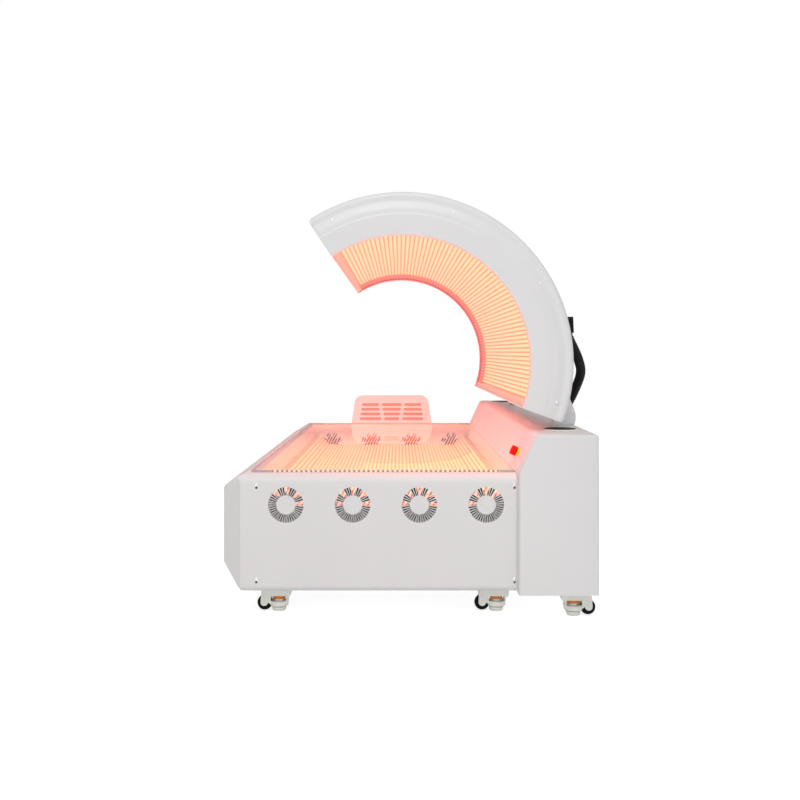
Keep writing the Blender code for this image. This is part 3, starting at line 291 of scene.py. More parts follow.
# %% [markdown]
# ### White enamel
#
# The panels are powder coated steel: a satin white with the faint orange peel of the baked powder.
# Two noises do it. A wide one moves the tone and the gloss a little from place to place, and a fine
# one is the peel, as a bump of a few hundredths of a millimetre.

# %% White enamel
def enamel(name, tone, roughness, peel):
    material, shader, place = start_finish(name, {"Specular IOR Level": 0.35})
    cloud = noise(place, 2.2, 3.0)
    darker = tuple(0.975 * channel for channel in tone)
    blend_colours(cloud.between(0.35, 0.65), darker, tone).into(shader.inputs["Base Color"])
    (roughness + 0.08 * noise(place, 35.0)).into(shader.inputs["Roughness"])
    relief(noise(place, 420.0), peel).into(shader.inputs["Normal"])
    return material


WHITE_ENAMEL = enamel("white enamel", (0.770, 0.770, 0.770), 0.42, 0.00005)
WHITE_MOULDING = enamel("white moulding", (0.785, 0.785, 0.785), 0.34, 0.00003)
print("finishes: enamel and moulding")

# %% [markdown]
# ## Helpers for pieces
#
# A finished piece sits at the origin with its place in its mesh, rides on a body, and stands for the
# solids that it replaces. This helper closes seams, turns the faces outwards and shades round faces
# smooth and edges sharp.

# %% Finished piece
def as_mesh(bm, name):
    bmesh.ops.remove_doubles(bm, verts=bm.verts, dist=1e-6)
    bmesh.ops.recalc_face_normals(bm, faces=bm.faces)
    mesh = bpy.data.meshes.new(name)
    bm.to_mesh(mesh)
    bm.free()
    return mesh


def show(mesh, name, material, body, nodes=(), smooth=38.0):
    """Makes a shown object of a mesh or bmesh, with one finish or a list, that rides on a body."""
    if isinstance(mesh, bmesh.types.BMesh):
        mesh = as_mesh(mesh, name)
    for finish in material if isinstance(material, list) else [material]:
        mesh.materials.append(finish)
    mesh.shade_smooth()
    mesh.set_sharp_from_angle(angle=math.radians(smooth))
    made = bpy.data.objects.new(name, mesh)
    scene.collection.objects.link(made)
    if body:
        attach(made, body)
    if nodes:
        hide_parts(*nodes)
    print(f"  {name}: {len(mesh.polygons)} faces")
    return made


# %% [markdown]
# ## Cable conduit
#
# A black corrugated tube carries the lamp cables from the canopy down into the cabinet. It is soft, so in
# the real bed it bends between the two when the canopy moves; here it keeps one fixed shape and rides on
# no body. Its line is a smooth curve through a few points, straight for a diameter at each end. A curve
# with a round bevel and a radius at each point makes the ribs, and the mesh of that curve is kept.

# %% Cable conduit
CONDUIT_RADIUS = 0.0172
CONDUIT_ROOT = 0.0150
CONDUIT_RIBS = 41
STEPS_PER_RIB = 6
CONDUIT_SPLAY = math.radians(24)
CONDUIT_START = Vector((0.5560, -0.7400, 0.9080))
CONDUIT_END = Vector((0.5750, -0.5850, 0.6060))
CONDUIT_WAY = [
    Vector((0.6020, -0.6980, 0.8200)),
    Vector((0.6165, -0.6560, 0.7700)),
    Vector((0.5980, -0.6080, 0.6960)),
]
conduit_heading = Vector((math.sin(CONDUIT_SPLAY), 0.0, -math.cos(CONDUIT_SPLAY)))


def conduit_line(steps=24):
    """A curve through the way points, straight for a diameter at both ends."""
    leave = CONDUIT_START + conduit_heading * 2 * CONDUIT_RADIUS
    arrive = CONDUIT_END + Vector((0, 0, 2 * CONDUIT_RADIUS))
    stops = [CONDUIT_START, leave, *CONDUIT_WAY, arrive, CONDUIT_END]
    line = [CONDUIT_START]
    for a, b, c, d in zip(stops, stops[1:], stops[2:], stops[3:]):
        for step in range(steps):
            t = step / steps
            bend = 2 * a - 5 * b + 4 * c - d
            line.append(0.5 * (2 * b + (c - a) * t + bend * t * t + (3 * b - a - 3 * c + d) * t ** 3))
    return line + [arrive, CONDUIT_END]


def even_steps(line, count):
    """Points at equal distances along a line."""
    runs = [0.0]
    for before, after in zip(line, line[1:]):
        runs.append(runs[-1] + (after - before).length)
    points = []
    index = 0
    for step in range(count + 1):
        goal = runs[-1] * step / count
        while index < len(runs) - 2 and runs[index + 1] < goal:
            index += 1
        share = (goal - runs[index]) / (runs[index + 1] - runs[index])
        points.append(line[index].lerp(line[index + 1], share))
    return points


conduit_points = even_steps(conduit_line(), CONDUIT_RIBS * STEPS_PER_RIB)
print("conduit line:", len(conduit_points), "points")

# %% [markdown]
# Along the line the radius swells and shrinks once per rib. The evaluated curve becomes a mesh, and the
# object that held it is removed.

# %% Conduit mesh
conduit_curve = bpy.data.curves.new("conduit line", "CURVE")
conduit_curve.dimensions = "3D"
conduit_curve.bevel_depth = 1.0
conduit_curve.bevel_resolution = 6
conduit_curve.use_fill_caps = True
spline = conduit_curve.splines.new("POLY")
spline.points.add(len(conduit_points) - 1)
for index, point in enumerate(conduit_points):
    swell = 0.5 - 0.5 * math.cos(math.tau * index / STEPS_PER_RIB)
    spline.points[index].co = (*point, 1.0)
    spline.points[index].radius = CONDUIT_ROOT + (CONDUIT_RADIUS - CONDUIT_ROOT) * swell
curve_holder = bpy.data.objects.new("conduit line", conduit_curve)
scene.collection.objects.link(curve_holder)
graph = bpy.context.evaluated_depsgraph_get()
conduit_mesh = bpy.data.meshes.new_from_object(curve_holder.evaluated_get(graph))
bpy.data.objects.remove(curve_holder, do_unlink=True)
print("conduit mesh:", CONDUIT_RIBS, "ribs,", len(conduit_mesh.polygons), "faces")

# %% [markdown]
# Black corrugated nylon is dull, with dust in the grooves, so the tone follows a noise, and its
# fine grain is a bump.

# %% Black finishes
def black_finish(name, tone, dusty, roughness, grain):
    material, shader, place = start_finish(name, {"Specular IOR Level": 0.18})
    dust = noise(place, 60.0, 4.0).between(0.35, 0.75)
    blend_colours(dust, tone, dusty).into(shader.inputs["Base Color"])
    (roughness + 0.15 * noise(place, 150.0)).into(shader.inputs["Roughness"])
    relief(noise(place, 900.0), grain).into(shader.inputs["Normal"])
    return material


BLACK_NYLON = black_finish("black nylon", (0.002, 0.002, 0.002), (0.006, 0.006, 0.006), 0.50, 0.00008)
BLACK_RUBBER = black_finish("black rubber", (0.003, 0.003, 0.003), (0.009, 0.009, 0.008), 0.60, 0.00015)

conduit = show(conduit_mesh, "corrugated_conduit", BLACK_NYLON, None, ["cable_conduit"],
               60.0)
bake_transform(conduit)

# %% [markdown]
# ## Shapes from a few vertices
#
# Most pieces of the bed are bent sheet or turned parts. An outline of a few points becomes a face that
# is pulled along an axis, and an open line becomes a sheet or is turned about an axis. An operator gives
# back what it has grown as one mixed list, so a helper picks the vertices out of it.

# %% Pulled shapes
def everything(bm):
    return bm.verts[:] + bm.edges[:] + bm.faces[:]


def grown_verts(grown):
    return [item for item in grown["geom"] if isinstance(item, bmesh.types.BMVert)]


def pulled(points, low, high, axis="Y"):
    """A closed outline pulled straight along X or Y."""
    bm = bmesh.new()
    if axis == "X":
        corners = [(low, a, b) for a, b in points]
        way = (high - low, 0.0, 0.0)
    else:
        corners = [(a, low, b) for a, b in points]
        way = (0.0, high - low, 0.0)
    face = bm.faces.new([bm.verts.new(corner) for corner in corners])
    grown = bmesh.ops.extrude_face_region(bm, geom=[face])
    bmesh.ops.translate(bm, verts=grown_verts(grown), vec=way)
    bmesh.ops.recalc_face_normals(bm, faces=bm.faces)
    return bm


def pulled_sheet(points, way):
    """An open line of points pulled along a vector into a sheet."""
    bm = bmesh.new()
    verts = [bm.verts.new(point) for point in points]
    edges = [bm.edges.new(pair) for pair in zip(verts, verts[1:])]
    grown = bmesh.ops.extrude_edge_only(bm, edges=edges)
    bmesh.ops.translate(bm, verts=grown_verts(grown), vec=way)
    return bm


def faced(sheet, way):
    """A sheet with its faces turned to the side that a vector points to."""
    bmesh.ops.recalc_face_normals(sheet, faces=sheet.faces)
    if sum(face.normal.dot(Vector(way)) * face.calc_area() for face in sheet.faces) < 0:
        bmesh.ops.reverse_faces(sheet, faces=sheet.faces)
    return sheet


def arc(centre, radius, start, end, steps):
    """Points along an arc in a section."""
    points = []
    for step in range(steps + 1):
        angle = start + (end - start) / steps * step
        points.append((centre[0] + radius * math.cos(angle), centre[1] + radius * math.sin(angle)))
    return points


def block(low, high):
    corners = [(low[0], low[2]), (high[0], low[2]), (high[0], high[2]), (low[0], high[2])]
    return pulled(corners, low[1], high[1])


print("shapes: pulled outlines, sheets and blocks")

# %% [markdown]
# Turned parts come from a profile of radius and height that is spun all round. The same operator with
# use_duplicate sets out copies of a finished shape.

# %% Turned shapes and copies
def turned(profile, steps):
    """A profile of (radius, height) turned about Z."""
    bm = bmesh.new()
    verts = [bm.verts.new((radius, 0.0, height)) for radius, height in profile]
    edges = [bm.edges.new(pair) for pair in zip(verts, verts[1:])]
    bmesh.ops.spin(bm, geom=verts + edges, cent=(0, 0, 0), axis=(0, 0, 1), angle=math.tau, steps=steps,
                   use_merge=True)
    bmesh.ops.remove_doubles(bm, verts=bm.verts, dist=1e-6)
    bmesh.ops.recalc_face_normals(bm, faces=bm.faces)
    return bm


def rod(radius, low, high, steps):
    """A round bar about Z."""
    return turned([(0.0, low), (radius, low), (radius, high), (0.0, high)], steps)


def copied_round(bm, count, axis):
    """A shape and its copies, evenly round an axis through the origin."""
    bmesh.ops.spin(bm, geom=everything(bm), cent=(0, 0, 0), axis=axis, steps=count - 1,
                   angle=math.tau * (count - 1) / count, use_duplicate=True)
    return bm


def moved(bm, matrix):
    bmesh.ops.transform(bm, matrix=matrix, verts=bm.verts)
    return bm


def joined(shapes):
    """Several shapes in one bmesh."""
    whole = bmesh.new()
    for shape in shapes:
        mesh = as_mesh(shape, "shape")
        whole.from_mesh(mesh)
        bpy.data.meshes.remove(mesh)
    return whole


print("shapes: turned profiles, rods and copies")

# %% [markdown]
# No real edge is perfectly sharp. A bevel rounds the edges that it is given, and these helpers find
# them: by the way they run, by where they pass, or by how sharp they are.

# %% Edges to round
def round_edges(bm, edges, size, segments):
    bmesh.ops.bevel(bm, geom=list(edges), offset=size, offset_type="OFFSET", segments=segments,
                    profile=0.5, affect="EDGES", material=-1, clamp_overlap=True)
    return bm


def edges_along(bm, axis):
    """Edges that run along one axis."""
    index = "XYZ".index(axis)
    found = []
    for edge in bm.edges:
        run = (edge.verts[1].co - edge.verts[0].co).normalized()
        if abs(run[index]) > 0.999:
            found.append(edge)
    return found


def edges_near(bm, axis, spot, reach=0.001):
    """Edges along an axis that pass through a spot of the section across it."""
    index = "XYZ".index(axis)
    others = [other for other in range(3) if other != index]
    found = []
    for edge in edges_along(bm, axis):
        co = edge.verts[0].co
        if all(abs(co[other] - value) < reach for other, value in zip(others, spot)):
            found.append(edge)
    return found


def outline_edges(bm):
    """The edges round both ends of an outline that was pulled along Y."""
    return [edge for edge in bm.edges if abs(edge.verts[0].co.y - edge.verts[1].co.y) < 1e-6]


def sharp_edges(bm, angle):
    """Edges where two faces meet at more than an angle."""
    return [edge for edge in bm.edges if len(edge.link_faces) == 2 and edge.calc_face_angle() > angle]


print("edges: found by direction, by place and by angle")

# %% [markdown]
# Two things are done best by modifiers: holes, which a Boolean cuts, and the wall of a bent sheet, which
# Solidify gives. A short-lived object takes the modifiers, and its result comes back as a bmesh.

# %% Holes and walls
def worked(body, steps):
    """A bmesh after modifiers, each given as its type and settings."""
    holder = bpy.data.objects.new("work", as_mesh(body, "work"))
    scene.collection.objects.link(holder)
    used = [holder]
    for kind, settings in steps:
        step = holder.modifiers.new(kind, kind)
        for key, value in settings.items():
            if isinstance(value, bmesh.types.BMesh):
                tool = bpy.data.objects.new("tool", as_mesh(value, "tool"))
                scene.collection.objects.link(tool)
                used.append(tool)
                value = tool
            setattr(step, key, value)
    result = bpy.context.evaluated_depsgraph_get()
    mesh = bpy.data.meshes.new_from_object(holder.evaluated_get(result))
    bm = bmesh.new()
    bm.from_mesh(mesh)
    bpy.data.meshes.remove(mesh)
    for item in used:
        bpy.data.objects.remove(item, do_unlink=True)
    return bm


def carved(body, *tools):
    """A body with tool shapes cut out of it."""
    return worked(body, [("BOOLEAN", {"operation": "DIFFERENCE", "object": tool}) for tool in tools])


def united(body, tool):
    """Two shapes in one closed skin."""
    return worked(body, [("BOOLEAN", {"operation": "UNION", "object": tool})])


def walled(sheet, thickness):
    """An open sheet with a wall behind its outer face."""
    wall = {"thickness": thickness, "offset": -1.0, "use_even_offset": True}
    return worked(sheet, [("SOLIDIFY", wall)])


print("modifiers: holes and walls")

# %% [markdown]
# ## Canopy end plates
#
# Each end of the arch is closed by a moulded plate: a flat ring round the opening, a small step down,
# a slope that takes the screws, a shallow valley and a rounded outer rim. All of the canopy is spun
# about one line along the bed, the middle of the arch, so places on it are given by a radius and an
# angle.

# %% Middle of the arch
ARCH = Vector((-0.0175, 0.0, 0.8140))
ARCH_LOW = math.radians(-20.7)
ARCH_HIGH = math.radians(123.8)
ARCH_STEPS = 96
RING_INNER = 0.4175
RING_OUTER = 0.5600
PLATE_DEPTH = 0.030
# Radius, depth below the plate's face, and rounding of each corner of the section.
PLATE_PROFILE = [(0.4840, 0.0000, 0.0015), (0.4900, 0.0016, 0.0015), (0.5040, 0.0018, 0.0060),
                 (0.5260, 0.0092, 0.0040), (0.5320, 0.0096, 0.0030), (0.5430, 0.0076, 0.0030),
                 (0.5520, 0.0086, 0.0050), (0.5600, 0.0200, 0.0070)]
PLATE_CORNER = 0.020
PLATE_EDGE = 0.0015
SCREW_SEAT = 0.0045
CANOPY_FOOT = -0.9475
CANOPY_HEAD = 1.0025
GAP = 0.0003
PAST_ENDS = 1.2


def arch_point(radius, angle, y):
    return ARCH + Vector((radius * math.cos(angle), y, radius * math.sin(angle)))


def arch_spun(bm, low, high, steps=ARCH_STEPS, duplicate=False):
    """Spins all of a bmesh about the middle of the arch."""
    bmesh.ops.spin(bm, geom=everything(bm), cent=ARCH, axis=(0, -1, 0), angle=high - low, steps=steps,
                   use_duplicate=duplicate)
    return bm


print(f"arch: {math.degrees(ARCH_HIGH - ARCH_LOW):.1f} degrees round")

# %% [markdown]
# The section of a plate is one face. Its corners are rounded while it is still flat, and then it is spun.
# The outer corners at both ends of the arc are cut round, by tools that reach past both ends of the bed.

# %% Canopy end plates
def corner_tool(angle, along):
    """What lies outside the rounded outer corner at one end of the arch."""
    middle = RING_OUTER - PLATE_CORNER
    outside = RING_OUTER + PLATE_CORNER
    corner = arc((middle, PLATE_CORNER), PLATE_CORNER, -math.pi / 2, 0.0, 10)
    outline = corner + [(outside, PLATE_CORNER), (outside, -PLATE_CORNER), (middle, -PLATE_CORNER)]
    out = Vector((math.cos(angle), math.sin(angle)))
    run = Vector((-math.sin(angle), math.cos(angle))) * along
    spots = [Vector((ARCH.x, ARCH.z)) + out * a + run * b for a, b in outline]
    return pulled([tuple(spot) for spot in spots], -PAST_ENDS, PAST_ENDS)


def end_plate(face_y, inward):
    profile = [(RING_INNER, 0.0, 0.003), *PLATE_PROFILE, (RING_OUTER, PLATE_DEPTH, 0.0),
               (RING_INNER, PLATE_DEPTH, 0.0)]
    bm = bmesh.new()
    corners = []
    for radius, depth, _ in profile:
        corners.append(bm.verts.new(arch_point(radius, ARCH_LOW, face_y + inward * depth)))
    bm.faces.new(corners)
    for corner, (_, _, size) in zip(corners, profile):
        if size > 0.0:
            bmesh.ops.bevel(bm, geom=[corner], offset=size, offset_type="OFFSET", segments=5,
                            profile=0.5, affect="VERTICES", material=-1)
    arch_spun(bm, ARCH_LOW, ARCH_HIGH)
    bmesh.ops.recalc_face_normals(bm, faces=bm.faces)
    caps = [face for face in bm.faces if len(face.verts) > 6]
    rim = {edge for face in caps for edge in face.edges}
    round_edges(bm, rim, PLATE_EDGE, 2)
    return carved(bm, corner_tool(ARCH_HIGH, -1), corner_tool(ARCH_LOW, 1))


for end, face_y, inward in (("foot", CANOPY_FOOT, 1), ("head", CANOPY_HEAD, -1)):
    show(end_plate(face_y, inward), f"arch_plate_{end}", WHITE_MOULDING, "canopy",
         [f"canopy_{end}_plate"])

# %% [markdown]
# ## Screws
#
# Button head screws hold the plates and the end panels. A screw is a low dome, turned from a
# profile, with a socket pressed into it. The socket is an inset of the flat on its top, pushed down,
# and a round one will do at this size.

# %% Screws
def zinc(name):
    """Bright zinc plate with a fine brushed grain."""
    material, shader, place = start_finish(name, {"Metallic": 1.0})
    blend_colours(noise(place, 120.0, 3.0), (0.84, 0.84, 0.85), (0.94, 0.94, 0.94)).into(
        shader.inputs["Base Color"])
    (0.28 + 0.20 * noise(place, 260.0)).into(shader.inputs["Roughness"])
    return material


ZINC = zinc("zinc plate")
# Radius and height of the two kinds of screw.
PLATE_SCREW = (0.0050, 0.0026)
PANEL_SCREW = (0.0048, 0.0022)


def screw(radius, height):
    """A button head about +Z with a socket."""
    profile = [(0.55, 1.0), (0.80, 0.88), (0.95, 0.55), (1.0, 0.15), (1.0, -0.3)]
    bm = turned([(radius * across, height * up) for across, up in profile], 18)
    rim = [edge for edge in bm.edges if edge.is_boundary and edge.verts[0].co.z > height * 0.9]
    top = bmesh.ops.contextual_create(bm, geom=rim)["faces"][0]
    bmesh.ops.inset_region(bm, faces=[top], thickness=radius * 0.28)
    bmesh.ops.translate(bm, verts=top.verts, vec=(0, 0, -height * 0.8))
    return bm


def screw_row(places, facing, size):
    """Screws of one (radius, height) at places, with their heads towards a direction."""
    turn = Vector(facing).to_track_quat("Z", "Y").to_matrix().to_4x4()
    return joined([moved(screw(*size), Matrix.Translation(place) @ turn) for place in places])


SCREW_BAND = 0.5175
SCREW_ANGLES = [math.radians(angle) for angle in (116.4, 71.4, 30.0, -14.4)]
for end, y, facing in (("foot", CANOPY_FOOT + SCREW_SEAT, (0, -1, 0)),
                       ("head", CANOPY_HEAD - SCREW_SEAT, (0, 1, 0))):
    places = [arch_point(SCREW_BAND, angle, y) for angle in SCREW_ANGLES]
    show(screw_row(places, facing, PLATE_SCREW), f"plate_screws_{end}", ZINC, "canopy")

# %% [markdown]
# ## Canopy shell
#
# The back of the canopy is one bent sheet between the plates, with its two long edges turned in
# towards the person. An edge along the bed is spun into the curved back, both ends are pulled
# inwards, the bends are rounded, and the sheet gets its wall.

# %% Canopy shell
SHELL_WALL = 0.005
SHELL_BEND = 0.020
shell_span = (CANOPY_FOOT + PLATE_DEPTH + GAP, CANOPY_HEAD - PLATE_DEPTH - GAP)


def bent_shell():
    bm = bmesh.new()
    ends = [bm.verts.new(arch_point(RING_OUTER, ARCH_LOW, y)) for y in shell_span]
    first = bm.edges.new(ends)
    swept = bmesh.ops.spin(bm, geom=[first, *ends], cent=ARCH, axis=(0, -1, 0),
                           angle=ARCH_HIGH - ARCH_LOW, steps=ARCH_STEPS)
    last = [item for item in swept["geom_last"] if isinstance(item, bmesh.types.BMEdge)][0]
    for edge, angle in ((first, ARCH_LOW), (last, ARCH_HIGH)):
        grown = bmesh.ops.extrude_edge_only(bm, edges=[edge])
        inwards = Vector((-math.cos(angle), 0.0, -math.sin(angle)))
        bmesh.ops.translate(bm, verts=grown_verts(grown), vec=inwards * (RING_OUTER - RING_INNER))
    round_edges(bm, sharp_edges(bm, 1.0), SHELL_BEND, 5)
    return walled(faced(bm, (0, 0, 1)), SHELL_WALL)


def as_is(bm, name):
    """A mesh whose normals are right already, such as a closed wall."""
    mesh = bpy.data.meshes.new(name)
    bm.to_mesh(mesh)
    bm.free()
    return mesh


show(as_is(bent_shell(), "arch_shell"), "arch_shell", WHITE_ENAMEL, "canopy",
     ["canopy_outer_shell"])

# %% [markdown]
# ## Lamps
#
# The lamps are diffuser bars with red diodes behind them. A photograph of such a lamp is overexposed:
# the lamp itself looks pale and warm, while the things round it are lit red. So the glow has two colours.
# Camera and mirrors see the pale one, brighter where a diode is, and the rest gets the red one. The
# crest of a bar throws the light, and its sides only glow faintly.

# %% Lamp finish
LAMP_SEEN = (0.45, 0.166, 0.078)
SIDE_SEEN = (0.34, 0.096, 0.050)
BED_SEEN = (0.45, 0.122, 0.065)
BED_SIDE_SEEN = (0.34, 0.080, 0.045)
LAMP_THROWN = (0.82, 0.205, 0.185)
SIDE_THROWN = (0.30, 0.080, 0.055)
LAMP_POWER = 6.0
DIODE_PITCH = 0.033
DIODE_DIP = 0.9


def lamp_finish(name, seen, thrown):
    """A glowing diffuser that looks paler than the light that it throws."""
    material, shader, place = start_finish(name, {
        "Base Color": (0.20, 0.10, 0.06, 1.0), "Roughness": 0.45, "Specular IOR Level": 0.2,
        "Emission Strength": LAMP_POWER})
    diodes = place.node("SeparateXYZ", {}, {0: place}, 1).wave(DIODE_PITCH)
    pale = blend_colours(diodes, tuple(DIODE_DIP * channel for channel in seen), seen)
    glow = pale.node("Mix", {"data_type": "RGBA"},
                     {0: seen_directly(material.node_tree), 6: (*thrown, 1.0), 7: pale}, 2)
    glow.into(shader.inputs["Emission Color"])
    return material


LAMP_GLOW = lamp_finish("lamp crest", LAMP_SEEN, LAMP_THROWN)
LAMP_SIDE = lamp_finish("lamp side", SIDE_SEEN, SIDE_THROWN)
BED_GLOW = lamp_finish("bed lamp crest", BED_SEEN, LAMP_THROWN)
BED_SIDE = lamp_finish("bed lamp side", BED_SIDE_SEEN, SIDE_THROWN)


def reflector_finish(name, tone, roughness, gloss):
    """Pale plastic that takes the lamps' light, a little uneven."""
    material, shader, place = start_finish(name, {"Specular IOR Level": gloss})
    darker = tuple(0.93 * channel for channel in tone)
    cloud = noise(place, 8.0, 3.0).between(0.3, 0.7)
    blend_colours(cloud, darker, tone).into(shader.inputs["Base Color"])
    (roughness + 0.10 * noise(place, 60.0)).into(shader.inputs["Roughness"])
    return material


REFLECTOR = reflector_finish("lamp reflector", (0.86, 0.68, 0.50), 0.40, 0.2)
TUB_PLASTIC = reflector_finish("tub plastic", (0.94, 0.88, 0.70), 0.50, 0.1)
print("finishes: lamps, reflector and tub plastic")

# %% [markdown]
# ## Canopy lamps
#
# Bars run the length of the arch, side by side along its inside. One bar is a block with its inner
# edges rounded, and a spin with copies sets out the row. Its crest and its sides take different lamp
# finishes.

# %% Canopy lamps
BAR_COUNT = 66
BAR_PITCH = math.radians(2.05)
BAR_WIDE = 0.0122
BAR_TALL = 0.0055
BAR_TIP = RING_INNER + 0.030
BAR_ROOT = BAR_TIP + BAR_TALL
CREST_ROUND = 0.36
CREST_UP = 0.80
LINING = 0.003
BAR_SPAN = (shell_span[0] + LINING, shell_span[1] - LINING)
TRAY_WALL = 0.003
TRAY_MARGIN = (SHELL_WALL + 3 * GAP) / RING_INNER
TRAY_LOW = ARCH_LOW + TRAY_MARGIN
TRAY_HIGH = ARCH_HIGH - TRAY_MARGIN
BAR_FIRST = (TRAY_LOW + TRAY_HIGH) / 2 - BAR_PITCH * (BAR_COUNT - 1) / 2


def lamp_bar(wide, tall, span):
    """A bar along Y on z = 0, with a rounded top."""
    half = wide / 2
    bm = block((-half, span[0], 0.0), (half, span[1], tall))
    crest = edges_near(bm, "Y", (-half, tall)) + edges_near(bm, "Y", (half, tall))
    round_edges(bm, crest, wide * CREST_ROUND, 4)
    bm.normal_update()
    for face in bm.faces:
        face.material_index = 0 if face.normal.z > CREST_UP else 1
    return bm


bars = lamp_bar(BAR_WIDE, BAR_TALL, BAR_SPAN)
inwards = Matrix.Rotation(math.pi / 2 - BAR_FIRST + math.pi, 4, "Y")
moved(bars, Matrix.Translation(arch_point(BAR_ROOT, BAR_FIRST, 0.0)) @ inwards)
arch_spun(bars, 0.0, BAR_PITCH * (BAR_COUNT - 1), BAR_COUNT - 1, True)
show(bars, "arch_lamp_bars", [LAMP_GLOW, LAMP_SIDE], "canopy")

# %% [markdown]
# ## Canopy lamp tray
#
# Behind the bars is a curved reflector, and a board closes the row along each edge. All of these are
# bands of the arch: a rectangle, spun from one angle to another.

# %% Canopy lamp tray
BOARD_TIP = RING_INNER + 0.0043


def arch_band(inner, outer, low, high, span, steps):
    """A block of the arch between two radii and two angles."""
    bm = bmesh.new()
    corners = [(inner, span[0]), (outer, span[0]), (outer, span[1]), (inner, span[1])]
    bm.faces.new([bm.verts.new(arch_point(radius, low, y)) for radius, y in corners])
    arch_spun(bm, low, high, steps)
    bmesh.ops.recalc_face_normals(bm, faces=bm.faces)
    return bm


board_angle = BAR_FIRST - BAR_PITCH - TRAY_LOW
tray = arch_band(BAR_ROOT, BAR_ROOT + TRAY_WALL, TRAY_LOW, TRAY_HIGH, shell_span, ARCH_STEPS)
show(tray, "arch_lamp_tray", REFLECTOR, "canopy", ["canopy_lamp_tray"])
boards = [arch_band(BOARD_TIP, BAR_ROOT, TRAY_LOW, TRAY_LOW + board_angle, shell_span, 3),
          arch_band(BOARD_TIP, BAR_ROOT, TRAY_HIGH - board_angle, TRAY_HIGH, shell_span, 3)]
show(joined(boards), "arch_lamp_boards", TUB_PLASTIC, "canopy")

# %% [markdown]
# A lining closes the row at each end. Its red is painted red lamp light, and a paler painted stripe of
# light stands in front of each bar: a wave of the angle about the middle of the arch. Its inner edge is
# painted deep red, as red light that falls on it.

# %% Lining finish
LINING_RIM = BOARD_TIP + 0.007


def red_lit_lining_finish(name):
    """Painted red lamp light, with a paler painted stripe of light in front of each bar."""
    material, shader, place = start_finish(name, {"Specular IOR Level": 0.2, "Roughness": 0.4})
    across = place.node("SeparateXYZ", {}, {0: place}, 0) - ARCH.x
    up = place.node("SeparateXYZ", {}, {0: place}, 2) - ARCH.z
    painted_light_stripes = place.node("Math", {"operation": "ARCTAN2"}, {0: up, 1: across}).wave(BAR_PITCH)
    # Painted light: red, and paler in front of each bar.
    blend_colours(painted_light_stripes, (0.62, 0.10, 0.07), (0.84, 0.40, 0.30)).into(shader.inputs["Base Color"])
    return material


RED_LIT_LINING = red_lit_lining_finish("lining with painted red light")
# The deep red of the lining's inner edge is painted red light.
RED_LIT_LINING_EDGE = reflector_finish("lining edge in painted red light", (0.30, 0.016, 0.010), 0.35, 0.1)
lining_ends = ((shell_span[0], BAR_SPAN[0]), (BAR_SPAN[1], shell_span[1]))
for piece, inner, outer, finish in (("linings", LINING_RIM, BAR_ROOT, RED_LIT_LINING),
                                    ("lining_edges", BOARD_TIP, LINING_RIM, RED_LIT_LINING_EDGE)):
    rings = [arch_band(inner, outer, TRAY_LOW + board_angle, TRAY_HIGH - board_angle, span, ARCH_STEPS)
             for span in lining_ends]
    show(joined(rings), f"arch_lamp_{piece}", finish, "canopy")

# %% [markdown]
# ## Clear sheets
#
# The lamps lie behind clear acrylic, and at a low angle it mirrors like water. Glass that bends light
# is noisy to render and keeps the lamps from lighting the room, so the sheet is a see-through shader
# mixed with a mirror that grows stronger at low angles, on the faces that look towards the eye only.
# Light that is caught in the sheet comes out at its cut ends, which glow deep red.

# %% Clear acrylic
ACRYLIC_IOR = 1.49
MIRROR_SHARE = 0.80


def see_through(material, shader, share):
    """Mixes a shader with plain transparency, where a share of 1 is all shader."""
    tree = material.node_tree
    clear = tree.nodes.new("ShaderNodeBsdfTransparent")
    mixed = tree.nodes.new("ShaderNodeMixShader")
    share.into(mixed.inputs[0])
    tree.links.new(clear.outputs[0], mixed.inputs[1])
    tree.links.new(shader.outputs[0], mixed.inputs[2])
    tree.links.new(mixed.outputs[0], tree.nodes["Material Output"].inputs["Surface"])
    return material


def clear_sheet(name, haze, tint):
    """A see-through sheet with mirror-like faces and a faint haze."""
    material, shader, place = start_finish(name, {"Base Color": (*tint, 1.0), "Metallic": 1.0})
    scratches = noise(place, 45.0, 5.0)
    (0.015 + 0.02 * scratches).into(shader.inputs["Roughness"])
    fresnel = place.node("Fresnel", {}, {"IOR": ACRYLIC_IOR})
    back = place.node("NewGeometry", {}, {}, "Backfacing")
    return see_through(material, shader, MIRROR_SHARE * fresnel * (1 - back) + haze * scratches)


def red_edge(name):
    """The cut end of a sheet, lit from within."""
    material, shader, place = start_finish(name, {
        "Roughness": 0.3, "Emission Color": (1.0, 0.02, 0.01, 1.0), "Emission Strength": 0.25})
    blend_colours(noise(place, 30.0), (0.55, 0.02, 0.01), (0.75, 0.04, 0.03)).into(
        shader.inputs["Base Color"])
    return material


CLEAR_ACRYLIC = clear_sheet("clear acrylic", 0.02, (0.96, 0.95, 0.95))
RED_EDGE = red_edge("red sheet edge")
COVER_WALL = 0.004
cover_margin = (SHELL_WALL + GAP) / RING_INNER
cover = arch_band(RING_INNER, RING_INNER + COVER_WALL, ARCH_LOW + cover_margin, ARCH_HIGH - cover_margin,
                  shell_span, ARCH_STEPS)
for face in cover.faces:
    face.material_index = 1 if abs(face.normal.y) > 0.5 else 0
show(cover, "arch_clear_cover", [CLEAR_ACRYLIC, RED_EDGE], "canopy",
     ["canopy_acrylic_cover"])

# %% [markdown]
# ## Bed lamps
#
# Under the clear sheet the lamps lie in a shallow trough: a flat floor of bars, and a sloping side
# with a few more along each edge. The trough is one sheet with four bends, pulled along the bed. The
# bars are rows of copies, each row turned to stand on its part of the sheet.

